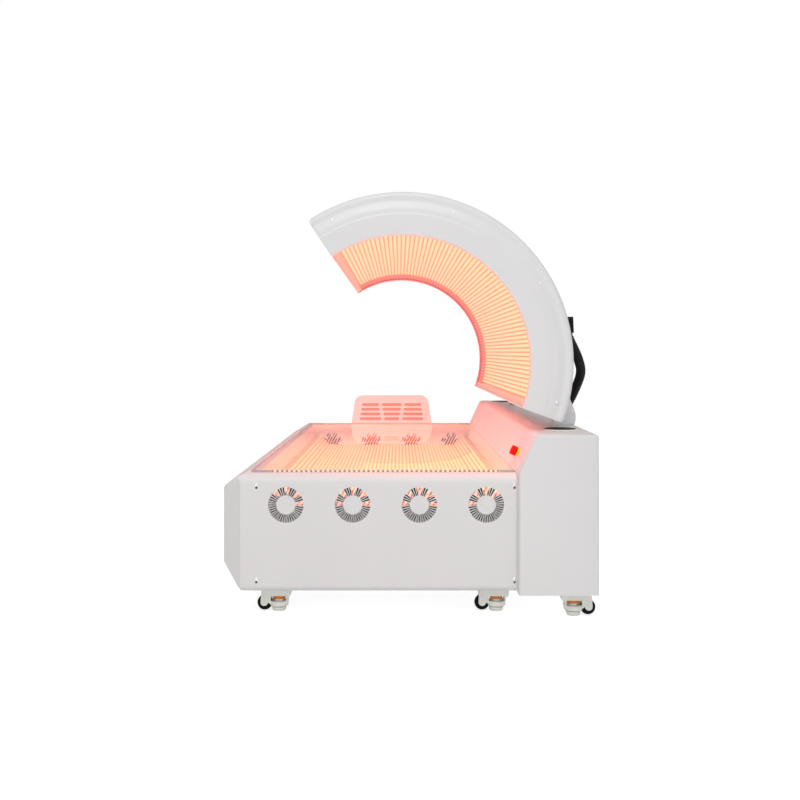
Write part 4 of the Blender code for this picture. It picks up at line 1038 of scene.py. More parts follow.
# %% Bed lamps
FOOT_FACE = -0.9925
HEAD_FACE = 1.0475
BED_ENDS = (("foot", 1, FOOT_FACE), ("head", -1, HEAD_FACE))
TUB_X = -0.0713
TUB_END = 0.050
LEDGE_Z = 0.4002
TROUGH_EDGE = 0.3977
TROUGH_SLOPE = 0.054
TROUGH_HALF = 0.3345
TROUGH_SHEET = 0.003
TROUGH_WIDE = 0.0126
BED_BAR_COUNTS = (4, 41, 4)
BED_BAR_PITCH = 0.0163
trough_span = (FOOT_FACE + TUB_END + GAP, HEAD_FACE - TUB_END - GAP)
low_z = LEDGE_Z + GAP + TROUGH_SHEET
half_bend = math.radians(22.5)
bend_in = TROUGH_SHEET * math.tan(half_bend)
bend_x = TROUGH_HALF + TROUGH_SLOPE
floor_z = low_z - TROUGH_SLOPE
TROUGH = [(-TROUGH_EDGE, low_z), (-bend_x + bend_in, low_z), (-TROUGH_HALF + bend_in, floor_z),
          (TROUGH_HALF - bend_in, floor_z), (bend_x - bend_in, low_z), (TROUGH_EDGE, low_z)]

trough_line = [(TUB_X + x, trough_span[0], z) for x, z in TROUGH]
trough = pulled_sheet(trough_line, (0, trough_span[1] - trough_span[0], 0))
trough = walled(faced(trough, (0, 0, 1)), TROUGH_SHEET)
show(as_is(trough, "bed_lamp_trough"), "bed_lamp_trough", REFLECTOR, "base", ["bed_lamp_rack"])

rows = []
for a, b, count in zip(TROUGH[1:], TROUGH[2:], BED_BAR_COUNTS):
    run = Vector((b[0] - a[0], 0.0, b[1] - a[1])).normalized()
    middle = Vector((TUB_X + (a[0] + b[0]) / 2, 0.0, (a[1] + b[1]) / 2))
    bar = lamp_bar(TROUGH_WIDE, BAR_TALL, (trough_span[0] + GAP, trough_span[1] - GAP))
    lean = Matrix.Rotation(-math.atan2(run.z, run.x), 4, "Y")
    moved(bar, Matrix.Translation(middle - run * BED_BAR_PITCH * (count - 1) / 2) @ lean)
    bmesh.ops.spin(bar, geom=everything(bar), cent=(0, 0, 0), axis=(0, 1, 0), angle=0.0,
                   dvec=run * BED_BAR_PITCH, steps=count - 1, use_duplicate=True)
    rows.append(bar)
show(joined(rows), "bed_lamp_bars", [BED_GLOW, BED_SIDE], "base")

# %% [markdown]
# ## Tub
#
# The tub that holds the trough is a moulding with a rim for the clear sheet, flared sides, and round
# vents of slanting slots towards the fans at both ends. It is easiest as a block with two hollows and
# the slots cut out. The block and the upper hollow share one section, with and without the wall.

# %% Tub section
RIM_Z = 0.4597
TUB_WALL = 0.003
TUB_HALF_RIM = 0.4145
TUB_HALF_LEDGE = 0.3980
LEDGE_WIDE = 0.008
TUB_FLOOR_Z = 0.285
END_RIM = 0.037
CABINET_X = 0.3475
ENTRY_EDGE = -0.5080
FAN_FIRST = -0.392
FAN_PITCH = 0.2138
FAN_X = [FAN_FIRST + FAN_PITCH * index for index in range(4)]
FAN_Z = 0.360
FAN_RADIUS = 0.0575
VENT_PITCH = 0.0130
VENT_SLOT = 0.0085
VENT_SLANT = math.radians(28)
VENT_CUT = 0.08


def tub_outline(wall, low, high):
    """The tub's section between two heights: upright to the ledge, then flared to the rim."""
    ledge, rim = TUB_HALF_LEDGE + wall, TUB_HALF_RIM + wall
    right = [(ledge, low), (rim, high)]
    if low < LEDGE_Z:
        right.insert(1, (ledge, LEDGE_Z))
    return [(TUB_X + x, z) for x, z in right + [(-x, z) for x, z in right[::-1]]]


def along_y(bm, x, y, z):
    """A shape turned from Z to Y and put in place."""
    return moved(bm, Matrix.Translation((x, y, z)) @ Matrix.Rotation(-math.pi / 2, 4, "X"))


tub_span = (FOOT_FACE + TUB_END, HEAD_FACE - TUB_END)
print(f"tub: {2 * TUB_HALF_RIM:.3f} m wide and {tub_span[1] - tub_span[0]:.3f} m long inside")

# %% [markdown]
# The rim is united with the block before the hollows and vents are cut out of both. The top of the rim
# takes the white finish of the mouldings.

# %% Tub
tub = pulled(tub_outline(TUB_WALL, TUB_FLOOR_Z - TUB_WALL, RIM_Z), tub_span[0] - TUB_WALL,
             tub_span[1] + TUB_WALL)
rim_plate = block((ENTRY_EDGE, FOOT_FACE + END_RIM + GAP, RIM_Z - TUB_WALL),
                  (CABINET_X - GAP, HEAD_FACE - END_RIM - GAP, RIM_Z))
upper = pulled(tub_outline(0.0, LEDGE_Z, RIM_Z + GAP), *tub_span)
lower_half = TUB_HALF_LEDGE - LEDGE_WIDE
lower = block((TUB_X - lower_half, tub_span[0], TUB_FLOOR_Z),
              (TUB_X + lower_half, tub_span[1], LEDGE_Z + TUB_WALL))


def fan_vent(x, face):
    """Slanting slots that fill a round hole, as blocks through the wall."""
    slots = []
    for step in range(-4, 5):
        across = step * VENT_PITCH
        half = math.sqrt(FAN_RADIUS ** 2 - across ** 2)
        slots.append(block((across - VENT_SLOT / 2, -VENT_CUT, -half),
                           (across + VENT_SLOT / 2, VENT_CUT, half)))
    slant = Matrix.Rotation(VENT_SLANT, 4, "Y")
    return moved(joined(slots), Matrix.Translation((x, face, FAN_Z)) @ slant)


holes = [fan_vent(x, face) for x in FAN_X for face in (FOOT_FACE, HEAD_FACE)]
tub = united(tub, rim_plate)
tub = carved(tub, upper, lower, joined(holes))
for face in tub.faces:
    on_rim = face.normal.z > 0.9 and face.calc_center_median().z > RIM_Z - GAP
    face.material_index = 1 if on_rim else 0
show(tub, "lamp_tub", [TUB_PLASTIC, WHITE_MOULDING], "base", ["tub_liner"])

# %% [markdown]
# ## Clear bed sheet
#
# The person lies on a flat acrylic sheet, eight millimetres thick. Its edges are sawn and polished, so
# they are softly bevelled. The lamps that they catch are painted on the cut ends as a row of bright and
# dark dashes.

# %% Clear bed sheet
BED_TOP = 0.468
SHEET_EDGE = 0.0008
DASH_PITCH = 0.01555
DASH_SPAN = (-0.440, 0.297)
sheet = block((ENTRY_EDGE, FOOT_FACE + END_RIM + GAP, RIM_Z + GAP),
              (CABINET_X - GAP, HEAD_FACE - END_RIM - GAP, BED_TOP))
round_edges(sheet, sheet.edges[:], SHEET_EDGE, 2)
sheet.normal_update()
for face in sheet.faces:
    if abs(face.normal.y) > 0.5:
        face.material_index = 1
    elif face.normal.x < -0.5:
        face.material_index = 2


def sawn_edge_painted_with_lamps():
    """The cut end of a sheet: painted bright and dark dashes that stand for the lamps seen in it, and grey
    beside them.
    """
    material, shader, place = start_finish("sawn acrylic edge with painted lamps", {"Roughness": 0.35})
    across = place.node("SeparateXYZ", {}, {0: place}, 0)
    # Painted light: the lamps seen in the cut end, a bright dash for each bar and a dark one for each gap.
    painted_lamp_dashes = across.wave(DASH_PITCH).between(0.35, 0.65)
    row = blend_colours(painted_lamp_dashes, (0.42, 0.33, 0.29), (0.95, 0.90, 0.76))
    beside = (across < DASH_SPAN[0]) + (across > DASH_SPAN[1])
    whole = row.node("Mix", {"data_type": "RGBA"}, {0: beside, 6: row, 7: (0.48, 0.46, 0.46, 1.0)}, 2)
    whole.into(shader.inputs["Base Color"])
    return material


LONG_EDGE = reflector_finish("long sheet edge", (0.48, 0.58, 0.58), 0.35, 0.2)
show(sheet, "bed_clear_sheet", [CLEAR_ACRYLIC, sawn_edge_painted_with_lamps(), LONG_EDGE], "base",
     ["bed_acrylic_sheet"])

# %% [markdown]
# ## Entry-side fascia
#
# The long side that people get in from is a padded-looking moulding: a sloping shoulder, an upright
# face and a toe that tucks under. Its section is a few points, pulled along the bed and rounded at
# each bend. At both ends it is cut back at a slant, and rounded over like the end panel beside it.

# %% Entry-side fascia
SKIRT_Z = 0.082
FASCIA_LEFT = -0.600
CORNER_X = -0.539
CORNER_Y = 0.050
TOP_ROUND = 0.035
FOOT_ROUND = 0.020
FASCIA = [(-0.5083, 0.468), (-0.514, 0.468), (-0.600, 0.416), (-0.600, 0.168), (-0.545, 0.094),
          (-0.510, 0.082)]
FASCIA_BENDS = [0.0050, 0.0101, 0.0060, 0.0056]
TRIM_SPAN = (-0.7, -0.4)
TRIM_OUT = 0.1
TRIM_TOP = 0.6


def outside_end(inward, face):
    """What lies beyond the rounded end of the bed, as (y, z) points."""
    foot = arc((FOOT_ROUND, SKIRT_Z + FOOT_ROUND), FOOT_ROUND, 1.5 * math.pi, math.pi, 8)
    top = arc((TOP_ROUND, RIM_Z - TOP_ROUND), TOP_ROUND, math.pi, math.pi / 2, 12)
    edge = END_RIM + GAP
    outline = [(-TRIM_OUT, 0.0), (FOOT_ROUND, 0.0), *foot, *top, (edge, RIM_Z), (edge, TRIM_TOP),
               (-TRIM_OUT, TRIM_TOP)]
    return [(face + inward * y, z) for y, z in outline]


fascia = pulled(FASCIA, FOOT_FACE, HEAD_FACE)
for spot, size in zip(FASCIA[1:5], FASCIA_BENDS):
    round_edges(fascia, edges_near(fascia, "Y", spot), size, 6)
trims = []
for _, inward, face in BED_ENDS:
    normal = Vector((-CORNER_Y, -inward * (CORNER_X - FASCIA_LEFT), 0.0)).normalized()
    bmesh.ops.bisect_plane(fascia, geom=everything(fascia), plane_co=(CORNER_X, face, 0.0),
                           plane_no=normal, clear_outer=True)
    bmesh.ops.holes_fill(fascia, edges=[edge for edge in fascia.edges if edge.is_boundary])
    trims.append(pulled(outside_end(inward, face), *TRIM_SPAN, "X"))
    behind = sorted((face - inward * TRIM_OUT, face + inward * (END_RIM + GAP)))
    trims.append(block((CORNER_X - GAP, behind[0], 0.0), (TRIM_SPAN[1], behind[1], TRIM_TOP)))
fascia = carved(fascia, *trims)
show(fascia, "entry_fascia", WHITE_ENAMEL, "base", ["front_fascia"], 30.0)

# %% [markdown]
# ## End panels
#
# Each end of the bed is one bent sheet, rounded back at its top and its foot, with four fan grilles
# punched straight into it. The sheet is a line of points pulled across the bed, with its bends
# rounded. One slot of a grille is a tapered block, and a spin with copies sets out the other 39. What
# would stand above the fascia's slope is cut off. A screw sits in each corner, over a small hole for a
# locating pin.

# %% End panels
PANEL_SHEET = 0.004
SLOT_COUNT = 40
SLOT_INNER = 0.0305
SLOT_OUTER = 0.0568
SLOT_INNER_WIDE = 0.0031
SLOT_OUTER_WIDE = 0.0056
PANEL_SCREWS = [(x, z) for x in (-0.4865, 0.340) for z in (0.4254, 0.1230)]
PIN_HOLE = 0.0039
PIN_DROP = 0.0105
PANEL_CUT = 0.02
ABOVE_SLOPE = [(-0.7, 0.6), (-0.7, 0.35557), (-0.514, 0.468), (-0.514, 0.6)]


def grille_slots(x, face):
    """The slots of one fan grille, as blocks through the panel."""
    a, b = SLOT_INNER_WIDE / 2, SLOT_OUTER_WIDE / 2
    corners = [(SLOT_INNER, -a), (SLOT_OUTER, -b), (SLOT_OUTER, b), (SLOT_INNER, a)]
    slots = copied_round(pulled(corners, -PANEL_CUT, PANEL_CUT), SLOT_COUNT, (0, 1, 0))
    return moved(slots, Matrix.Translation((x, face, FAN_Z)))


def end_panel(inward, face):
    line = [(END_RIM, RIM_Z), (0.0, RIM_Z), (0.0, SKIRT_Z), (FOOT_ROUND, SKIRT_Z)]
    across = (CABINET_X - GAP - CORNER_X, 0, 0)
    bm = pulled_sheet([(CORNER_X, face + inward * y, z) for y, z in line], across)
    round_edges(bm, edges_near(bm, "X", (face, RIM_Z)), TOP_ROUND, 10)
    round_edges(bm, edges_near(bm, "X", (face, SKIRT_Z)), FOOT_ROUND - GAP, 8)
    bm = walled(faced(bm, (0, -inward, 0)), PANEL_SHEET)
    slots = [grille_slots(x, face) for x in FAN_X]
    shoulder = pulled(ABOVE_SLOPE, -PAST_ENDS, PAST_ENDS)
    pins = [along_y(rod(PIN_HOLE, -PANEL_CUT, PANEL_CUT, 16), x, face, z - PIN_DROP)
            for x, z in PANEL_SCREWS]
    return carved(bm, joined(slots), shoulder, joined(pins))


for end, inward, face in BED_ENDS:
    show(end_panel(inward, face), f"end_panel_{end}", WHITE_ENAMEL, "base",
         [f"{end}_end_panel"], 30.0)
for end, inward, face in BED_ENDS:
    places = [Vector((x, face, z)) for x, z in PANEL_SCREWS]
    show(screw_row(places, (0, -inward, 0), PANEL_SCREW), f"panel_screws_{end}", ZINC, "base")

# %% [markdown]
# ## Fan rotors
#
# A rotor is a shallow cup with eight pitched blades. A blade is a small grid, turned to its pitch and
# twisted so that it is flatter at the tip, with a wall added. Copies stand round the cup.

# %% Fan rotors
ROTOR_HUB = 0.0255
ROTOR_TIP = 0.0545
ROTOR_DEPTH = 0.020
ROTOR_START = 0.0123
BLADE_COUNT = 8
BLADE_CHORD = 0.0250
BLADE_PITCH = math.radians(47)
BLADE_TWIST = math.radians(6)
BLADE_CAMBER = 0.0010
BLADE_WALL = 0.0012
BLADE_ROOT = 0.001


def rotor():
    """A rotor about Z between z = 0 and its depth."""
    cup = [(0.0, 0.0), (ROTOR_HUB - 0.003, 0.0), (ROTOR_HUB - 0.0008, 0.0008), (ROTOR_HUB, 0.003),
           (ROTOR_HUB, ROTOR_DEPTH), (ROTOR_HUB - 0.002, ROTOR_DEPTH), (ROTOR_HUB - 0.002, 0.003),
           (0.0, 0.003)]
    blade = bmesh.new()
    bmesh.ops.create_grid(blade, x_segments=4, y_segments=4, size=0.5)
    reach = ROTOR_TIP - ROTOR_HUB + BLADE_ROOT
    for vert in blade.verts:
        out = vert.co.x + 0.5
        chord = vert.co.y * BLADE_CHORD
        pitch = BLADE_PITCH + BLADE_TWIST * (out - 0.5)
        camber = BLADE_CAMBER * (1 - (2 * vert.co.y) ** 2)
        vert.co = (ROTOR_HUB - BLADE_ROOT + reach * out, chord * math.sin(pitch) - camber,
                   ROTOR_DEPTH / 2 + chord * math.cos(pitch))
    blade = walled(blade, BLADE_WALL)
    half_step = Matrix.Rotation(math.pi / BLADE_COUNT, 3, "Z")
    bmesh.ops.rotate(blade, verts=blade.verts, cent=(0, 0, 0), matrix=half_step)
    return joined([turned(cup, 36), copied_round(blade, BLADE_COUNT, (0, 0, 1))])


FAN_PLASTIC = black_finish("fan plastic", (0.030, 0.028, 0.027), (0.045, 0.042, 0.040), 0.55, 0.00004)
for end, inward, face in BED_ENDS:
    for index, x in enumerate(FAN_X, start=1):
        spot = Matrix.Translation((x, face + inward * ROTOR_START, FAN_Z))
        turn = Matrix.Rotation(-inward * math.pi / 2, 4, "X")
        name = f"fan_rotor_{end}_{index}"
        show(moved(rotor(), spot @ turn), f"rotor_{end}_{index}", FAN_PLASTIC, name,
             [name])

# %% [markdown]
# ## Hinge cabinet
#
# The cabinet along the far side carries the canopy and holds the drive and the drivers of the lamps.
# It is a folded box with a sloping face over the bed. The folds have a small radius. The sheet has a
# wall, an open underside, and an opening at the back for the service panel.

# %% Hinge cabinet
CABINET_RIGHT = 0.600
CABINET_FOOT = -1.0475
CABINET_HEAD = 1.0125
CABINET_TOP = 0.589
SLOPE_RUN = 0.0555
CABINET_LOW = 0.084
CABINET_SHEET = 0.004
CABINET_FOLD = 0.009
SERVICE_MARGIN = 0.030
CHASSIS_Z = 0.090
TRAY_ROOM = 0.0203
STOP_STEM = 0.0100
STOP_INSET = 0.1825
STOP_SHARE = 0.38
CABINET_CUT = 0.08

SLOPE_UP = Vector((SLOPE_RUN, 0.0, CABINET_TOP - BED_TOP))
SLOPE_OUT = Vector((-SLOPE_UP.z, 0.0, SLOPE_UP.x)).normalized()
STOP_PLACE = Vector((CABINET_X, CABINET_FOOT + STOP_INSET, BED_TOP)) + SLOPE_UP * STOP_SHARE
slope_turn = SLOPE_OUT.to_track_quat("Z", "Y").to_matrix().to_4x4()
STOP_FRAME = Matrix.Translation(STOP_PLACE) @ slope_turn

outside = [(CABINET_X, CABINET_LOW), (CABINET_X, BED_TOP), (CABINET_X + SLOPE_RUN, CABINET_TOP),
           (CABINET_RIGHT, CABINET_TOP), (CABINET_RIGHT, CABINET_LOW)]
cabinet = pulled(outside, CABINET_FOOT, CABINET_HEAD)
folds = [edge for edge in cabinet.edges if edge.verts[0].co.z + edge.verts[1].co.z > 2.1 * CABINET_LOW]
round_edges(cabinet, folds, CABINET_FOLD, 4)
wall = CABINET_SHEET
fold_low = wall * math.tan(0.5 * math.atan2(SLOPE_UP.x, SLOPE_UP.z))
fold_high = wall * math.tan(0.5 * math.atan2(SLOPE_UP.z, SLOPE_UP.x))
inside = [(CABINET_X + wall, 0.0), (CABINET_X + wall, BED_TOP - fold_low),
          (CABINET_X + SLOPE_RUN + fold_high, CABINET_TOP - wall),
          (CABINET_RIGHT - wall, CABINET_TOP - wall), (CABINET_RIGHT - wall, 0.0)]
hollow = pulled(inside, CABINET_FOOT + wall, CABINET_HEAD - wall)
service = block((CABINET_RIGHT - 2 * wall, CABINET_FOOT + SERVICE_MARGIN, CHASSIS_Z + SERVICE_MARGIN),
                (CABINET_RIGHT + CABINET_CUT, CABINET_HEAD - SERVICE_MARGIN, CABINET_TOP - SERVICE_MARGIN))
stem_hole = moved(rod(STOP_STEM + 3 * GAP, -CABINET_CUT, CABINET_CUT, 24), STOP_FRAME)
tray_room = block((CABINET_X - CABINET_CUT, FOOT_FACE + wall, 0.0),
                  (CABINET_X + 2 * wall, HEAD_FACE, CHASSIS_Z + TRAY_ROOM))
cabinet = carved(cabinet, hollow, service, stem_hole, tray_room)
show(cabinet, "hinge_cabinet_case", WHITE_ENAMEL, "base", ["hinge_cabinet"], 32.0)

# %% [markdown]
# ## Speakers
#
# Two round speakers are let into the cabinet's top: a cream trim ring round a dark pressed grille.
# Both are turned. The holes of the grille are a pattern in its finish, with a bump, and painted shade
# makes them darker.

# %% Speakers
SPEAKER_X = 0.508
SPEAKER_INSET = 0.190
HOLES_PER_METRE = 300.0
HOLE_SHARE = 0.35
RING_PROFILE = [(0.0560, 0.0), (0.0600, 0.0), (0.0600, 0.0034), (0.0596, 0.0042), (0.0586, 0.0045),
                (0.0574, 0.0042), (0.0566, 0.0030), (0.0560, 0.0024), (0.0560, 0.0)]
GRILLE_PROFILE = [(0.0, 0.0070), (0.0200, 0.0068), (0.0400, 0.0058), (0.0520, 0.0044), (0.0562, 0.0028),
                  (0.0562, 0.0010), (0.0, 0.0010)]


def speaker_grille():
    material, shader, place = start_finish("speaker grille", {"Specular IOR Level": 0.1})
    cells = place.node("TexVoronoi", {}, {"Vector": place, "Scale": HOLES_PER_METRE, "Randomness": 0.0})
    hole = cells < HOLE_SHARE
    # The holes are painted darker than the grille: painted shade inside them.
    blend_colours(hole, (0.016, 0.015, 0.013), (0.002, 0.002, 0.002)).into(shader.inputs["Base Color"])
    (0.45 + 0.3 * hole).into(shader.inputs["Roughness"])
    relief(1 - hole, 0.0006).into(shader.inputs["Normal"])
    return material


SPEAKER_GRILLE = speaker_grille()
CREAM = enamel("cream trim", (0.92, 0.89, 0.76), 0.30, 0.00002)
for end, y in (("foot", CABINET_FOOT + SPEAKER_INSET), ("head", CABINET_HEAD - SPEAKER_INSET)):
    spot = Matrix.Translation((SPEAKER_X, y, CABINET_TOP + GAP))
    show(moved(turned(RING_PROFILE, 64), spot), f"speaker_ring_{end}", CREAM, "base",
         [f"speaker_{end}"], 50.0)
    show(moved(turned(GRILLE_PROFILE, 64), spot), f"speaker_grille_{end}", SPEAKER_GRILLE, "base")

# %% [markdown]
# ## Emergency stop
#
# A red mushroom on a yellow collar sits on the slope. Both are turned about the slope's normal. The
# plastic is glossy, with a fine grain.

# %% Emergency stop
def plastic(name, tone, darker, roughness):
    material, shader, place = start_finish(name, {"Specular IOR Level": 0.2})
    blend_colours(noise(place, 90.0, 3.0), darker, tone).into(shader.inputs["Base Color"])
    (roughness + 0.12 * noise(place, 200.0)).into(shader.inputs["Roughness"])
    relief(noise(place, 1400.0), 0.00003).into(shader.inputs["Normal"])
    return material


RED_PLASTIC = plastic("red plastic", (0.78, 0.002, 0.001), (0.68, 0.002, 0.001), 0.40)
YELLOW_PLASTIC = plastic("yellow plastic", (0.93, 0.80, 0.02), (0.86, 0.72, 0.02), 0.40)
COLLAR_LOW = GAP
COLLAR_HIGH = GAP + 0.007
COLLAR_BORE = STOP_STEM + 2 * GAP
COLLAR_PROFILE = [(COLLAR_BORE, COLLAR_LOW), (0.0145, COLLAR_LOW), (0.0145, COLLAR_HIGH - 0.0020),
                  (0.0139, COLLAR_HIGH - 0.0006), (0.0125, COLLAR_HIGH), (COLLAR_BORE, COLLAR_HIGH),
                  (COLLAR_BORE, COLLAR_LOW)]
MUSHROOM_PROFILE = [(0.0, -0.0118), (STOP_STEM, -0.0118), (STOP_STEM, 0.0118), (0.0150, 0.0118),
                    (0.0150, 0.0082), (0.0157, 0.0080), (0.0160, 0.0090), (0.0160, 0.0225),
                    (0.0156, 0.0252), (0.0140, 0.0270), (0.0080, 0.0277), (0.0, 0.0278)]
show(moved(turned(COLLAR_PROFILE, 40), STOP_FRAME), "stop_collar", YELLOW_PLASTIC, "base",
     ["estop_base"])
show(moved(turned(MUSHROOM_PROFILE, 40), STOP_FRAME), "stop_mushroom", RED_PLASTIC, "estop_button",
     ["estop_button"], 50.0)

# %% [markdown]
# ## Hinge lugs and arms
#
# Two thick lugs stand on the cabinet, and an arm on the back of the canopy turns beside each of them
# on a pin. Each is an outline of a plate, pulled to its thickness, with softly rounded edges.

# %% Hinge lugs and arms
HINGE = Vector((0.522, 0.0, 0.617))
LUG_INSET = 0.3875
LUG_RADIUS = 0.0775
LUG_TAPER = math.radians(22)
LUG_TALL = 0.073
LUG_THICK = 0.014
LUG_EDGE = 0.0016
LUG_SCREW = (0.587, 0.640)
ARM_THICK = 0.024
ARM_EDGE = 0.0012
ARM_EYE = 0.0130
ARM_EYE_SPAN = (-2.3, 1.25)
ARM_TOP = math.radians(-11)
PIN_PROFILE = [(0.0, -0.0040), (0.0060, -0.0040), (0.0078, -0.0034), (0.0085, -0.0024), (0.0085, -GAP),
               (0.0055, -GAP), (0.0055, 0.0389), (0.0, 0.0389)]
LUG_ROWS = (("foot", CABINET_FOOT + LUG_INSET, 1), ("head", CABINET_HEAD - LUG_INSET, -1))
seat = CABINET_TOP + GAP - HINGE.z
lug_back = arc((0, 0), LUG_RADIUS, math.asin(seat / LUG_RADIUS), LUG_TAPER, 12)
lug_top_x = lug_back[-1][0] - (LUG_TALL - lug_back[-1][1]) * math.tan(LUG_TAPER)
lug_front = [(lug_top_x, LUG_TALL), (0.0125, LUG_TALL), (0.0015, 0.036), (-0.0100, 0.0), (-0.0060, seat)]
arm_low = ARCH_LOW + GAP / RING_OUTER
arm_seat = arc((0, 0), RING_OUTER + GAP, ARM_TOP, arm_low, 12)
arm_axis = HINGE - ARCH
arm_eye = arc((arm_axis.x, arm_axis.z), ARM_EYE, *ARM_EYE_SPAN, 20)


def plate_between(outline, centre, face, inward, thick, soft):
    """A plate of an outline round a centre, from a face inwards, with soft edges."""
    low, high = sorted((face, face + inward * thick))
    bm = pulled([(centre.x + x, centre.z + z) for x, z in outline], low, high)
    return round_edges(bm, outline_edges(bm), soft, 3)


for end, face, inward in LUG_ROWS:
    lug = plate_between(lug_back + lug_front, HINGE, face, inward, LUG_THICK, LUG_EDGE)
    show(lug, f"lug_{end}", WHITE_ENAMEL, "base", [f"hinge_lug_{end}"])
    arm_face = face + inward * (LUG_THICK + GAP)
    arm = plate_between(arm_seat + arm_eye, ARCH, arm_face, inward, ARM_THICK, ARM_EDGE)
    show(arm, f"arm_{end}", WHITE_ENAMEL, "canopy", [f"hinge_arm_{end}"])
    turn = Matrix.Rotation(-inward * math.pi / 2, 4, "X")
    pin = moved(turned(PIN_PROFILE, 32), Matrix.Translation((HINGE.x, face, HINGE.z)) @ turn)
    show(pin, f"pin_{end}", ZINC, "base", [f"hinge_pin_{end}"])
    place = Vector((LUG_SCREW[0], face, LUG_SCREW[1]))
    show(screw_row([place], (0, -inward, 0), PANEL_SCREW), f"lug_screw_{end}", ZINC, "base")

# %% [markdown]
# ## Conduit glands
#
# The conduit leaves the canopy through a small black box on its back, and enters the cabinet through a
# ring nut. The box is an outline pulled to its width and hollowed to the curve of the shell. The nut
# is turned in only twelve steps, which gives it flats.

# %% Conduit glands
GLAND_DEEP = 0.038
GLAND_WIDE = 0.050
GLAND_TOP = 0.971
GLAND_BACK = 0.5708
GLAND_EDGE = 0.002
exit_face = CONDUIT_START - conduit_heading * GAP
gland_along = Vector((-conduit_heading.z, 0.0, conduit_heading.x)) * GLAND_DEEP / 2
gland_corners = [exit_face - gland_along, exit_face + gland_along, Vector((GLAND_BACK, 0, GLAND_TOP)),
                 Vector((GLAND_BACK - 2 * GLAND_DEEP, 0, GLAND_TOP))]
gland_box = pulled([(corner.x, corner.z) for corner in gland_corners], CONDUIT_START.y - GLAND_WIDE / 2,
                   CONDUIT_START.y + GLAND_WIDE / 2)
round_edges(gland_box, gland_box.edges[:], GLAND_EDGE, 3)
shell_core = rod(RING_OUTER + GAP, -4 * GLAND_WIDE, 4 * GLAND_WIDE, 256)
along_y(shell_core, ARCH.x, CONDUIT_START.y, ARCH.z)
show(carved(gland_box, shell_core), "conduit_box", BLACK_NYLON, "canopy",
     ["canopy_gland"])

nut_low, nut_high = CABINET_TOP + GAP, CONDUIT_END.z - GAP
nut = turned([(0.0, nut_low), (0.0215, nut_low), (0.0215, nut_low + 0.004), (0.0205, nut_low + 0.005),
              (0.0205, nut_high - 0.003), (0.0190, nut_high), (0.0, nut_high)], 12)
moved(nut, Matrix.Translation((CONDUIT_END.x, CONDUIT_END.y, 0.0)))
show(nut, "conduit_nut", BLACK_NYLON, "base", ["cabinet_gland"], 20.0)

# %% [markdown]
# ## Headrest
#
# A loose headrest of milky acrylic stands at the head end: one leaning sheet with rows of pockets milled
# into it, on a clear foot so that it stands by itself. The pockets leave a thin web that lets more of the
# red light through, so their floors get more painted red light: a redder tone and glow.

# %% Headrest pockets
REST_INSET = 0.048
REST = Vector((-0.0707, HEAD_FACE - REST_INSET, BED_TOP + GAP))
REST_BOTTOM = 0.431
REST_TOP = 0.385
REST_TALL = 0.150
REST_SHEET = 0.006
REST_ROUND = 0.038
REST_EDGE = 0.0010
REST_LEAN = math.radians(8)
REST_FOOT = 0.070
FOOT_EDGE = 0.0006
POCKET_ROWS = 4
POCKET_LOW = 0.0237
POCKET_PITCH = 0.0252
POCKET_TALL = 0.0150
POCKET_ROUND = 0.0072
POCKET_WEB = 0.0012
POCKET_RIB = 0.0165
# Half widths in the lowest row, and what the highest row adds to them.
POCKET_MIDDLE = (0.040, 0.013)
POCKET_OUTER = (0.1710, -0.012)
POCKET_CUT = 0.05


def headrest_pockets():
    """Three rounded pockets in each row. Going up, the middle ones widen and the row narrows."""
    pockets = []
    for row in range(POCKET_ROWS):
        z = POCKET_LOW + POCKET_PITCH * row
        share = row / (POCKET_ROWS - 1)
        middle = POCKET_MIDDLE[0] + POCKET_MIDDLE[1] * share
        inner = middle + POCKET_RIB
        outer = POCKET_OUTER[0] + POCKET_OUTER[1] * share
        for left, right in ((-outer, -inner), (-middle, middle), (inner, outer)):
            pocket = block((left, -POCKET_CUT, z - POCKET_TALL / 2),
                           (right, REST_SHEET - POCKET_WEB, z + POCKET_TALL / 2))
            pockets.append(round_edges(pocket, edges_along(pocket, "Y"), POCKET_ROUND, 6))
    return joined(pockets)


print("headrest:", POCKET_ROWS, "rows of pockets")

# %% [markdown]
# Milky acrylic lets part of the light through, so it is a shader mixed with plain transparency. The lamps
# below light it from within, which a faint painted glow gives, with pink painted into its tones.

# %% Headrest finish
def milky_acrylic(name, tones, cover, glow):
    """Acrylic of two tones that covers a share of what is behind it."""
    material, shader, place = start_finish(name, {
        "Roughness": 0.20, "Specular IOR Level": 0.2, "Emission Color": (*glow, 1.0),
        "Emission Strength": 0.25})
    cloud = noise(place, 14.0, 3.0)
    blend_colours(cloud, *tones).into(shader.inputs["Base Color"])
    return see_through(material, shader, cover + 0.06 * cloud)


# The pink of these tones and their glow are painted red lamp light, and the pocket floors get a redder
# share of it.
REST_FACE = milky_acrylic("milky acrylic", ((0.66, 0.55, 0.53), (0.74, 0.63, 0.61)), 0.78,
                          (1.0, 0.54, 0.50))
REST_POCKET_RED_LIGHT = milky_acrylic("thin milky acrylic with painted red light", ((0.62, 0.24, 0.20), (0.70, 0.29, 0.25)), 0.82,
                            (1.0, 0.16, 0.12))
REST_CLEAR = milky_acrylic("clear headrest foot", ((0.80, 0.62, 0.58), (0.86, 0.68, 0.64)), 0.06,
                           (1.0, 0.40, 0.34))
print("finishes: milky acrylic")

# %% [markdown]
# The sheet is an outline with rounded top corners. The pockets are cut out of it, all its edges are
# softened, and it leans back before it joins its foot.

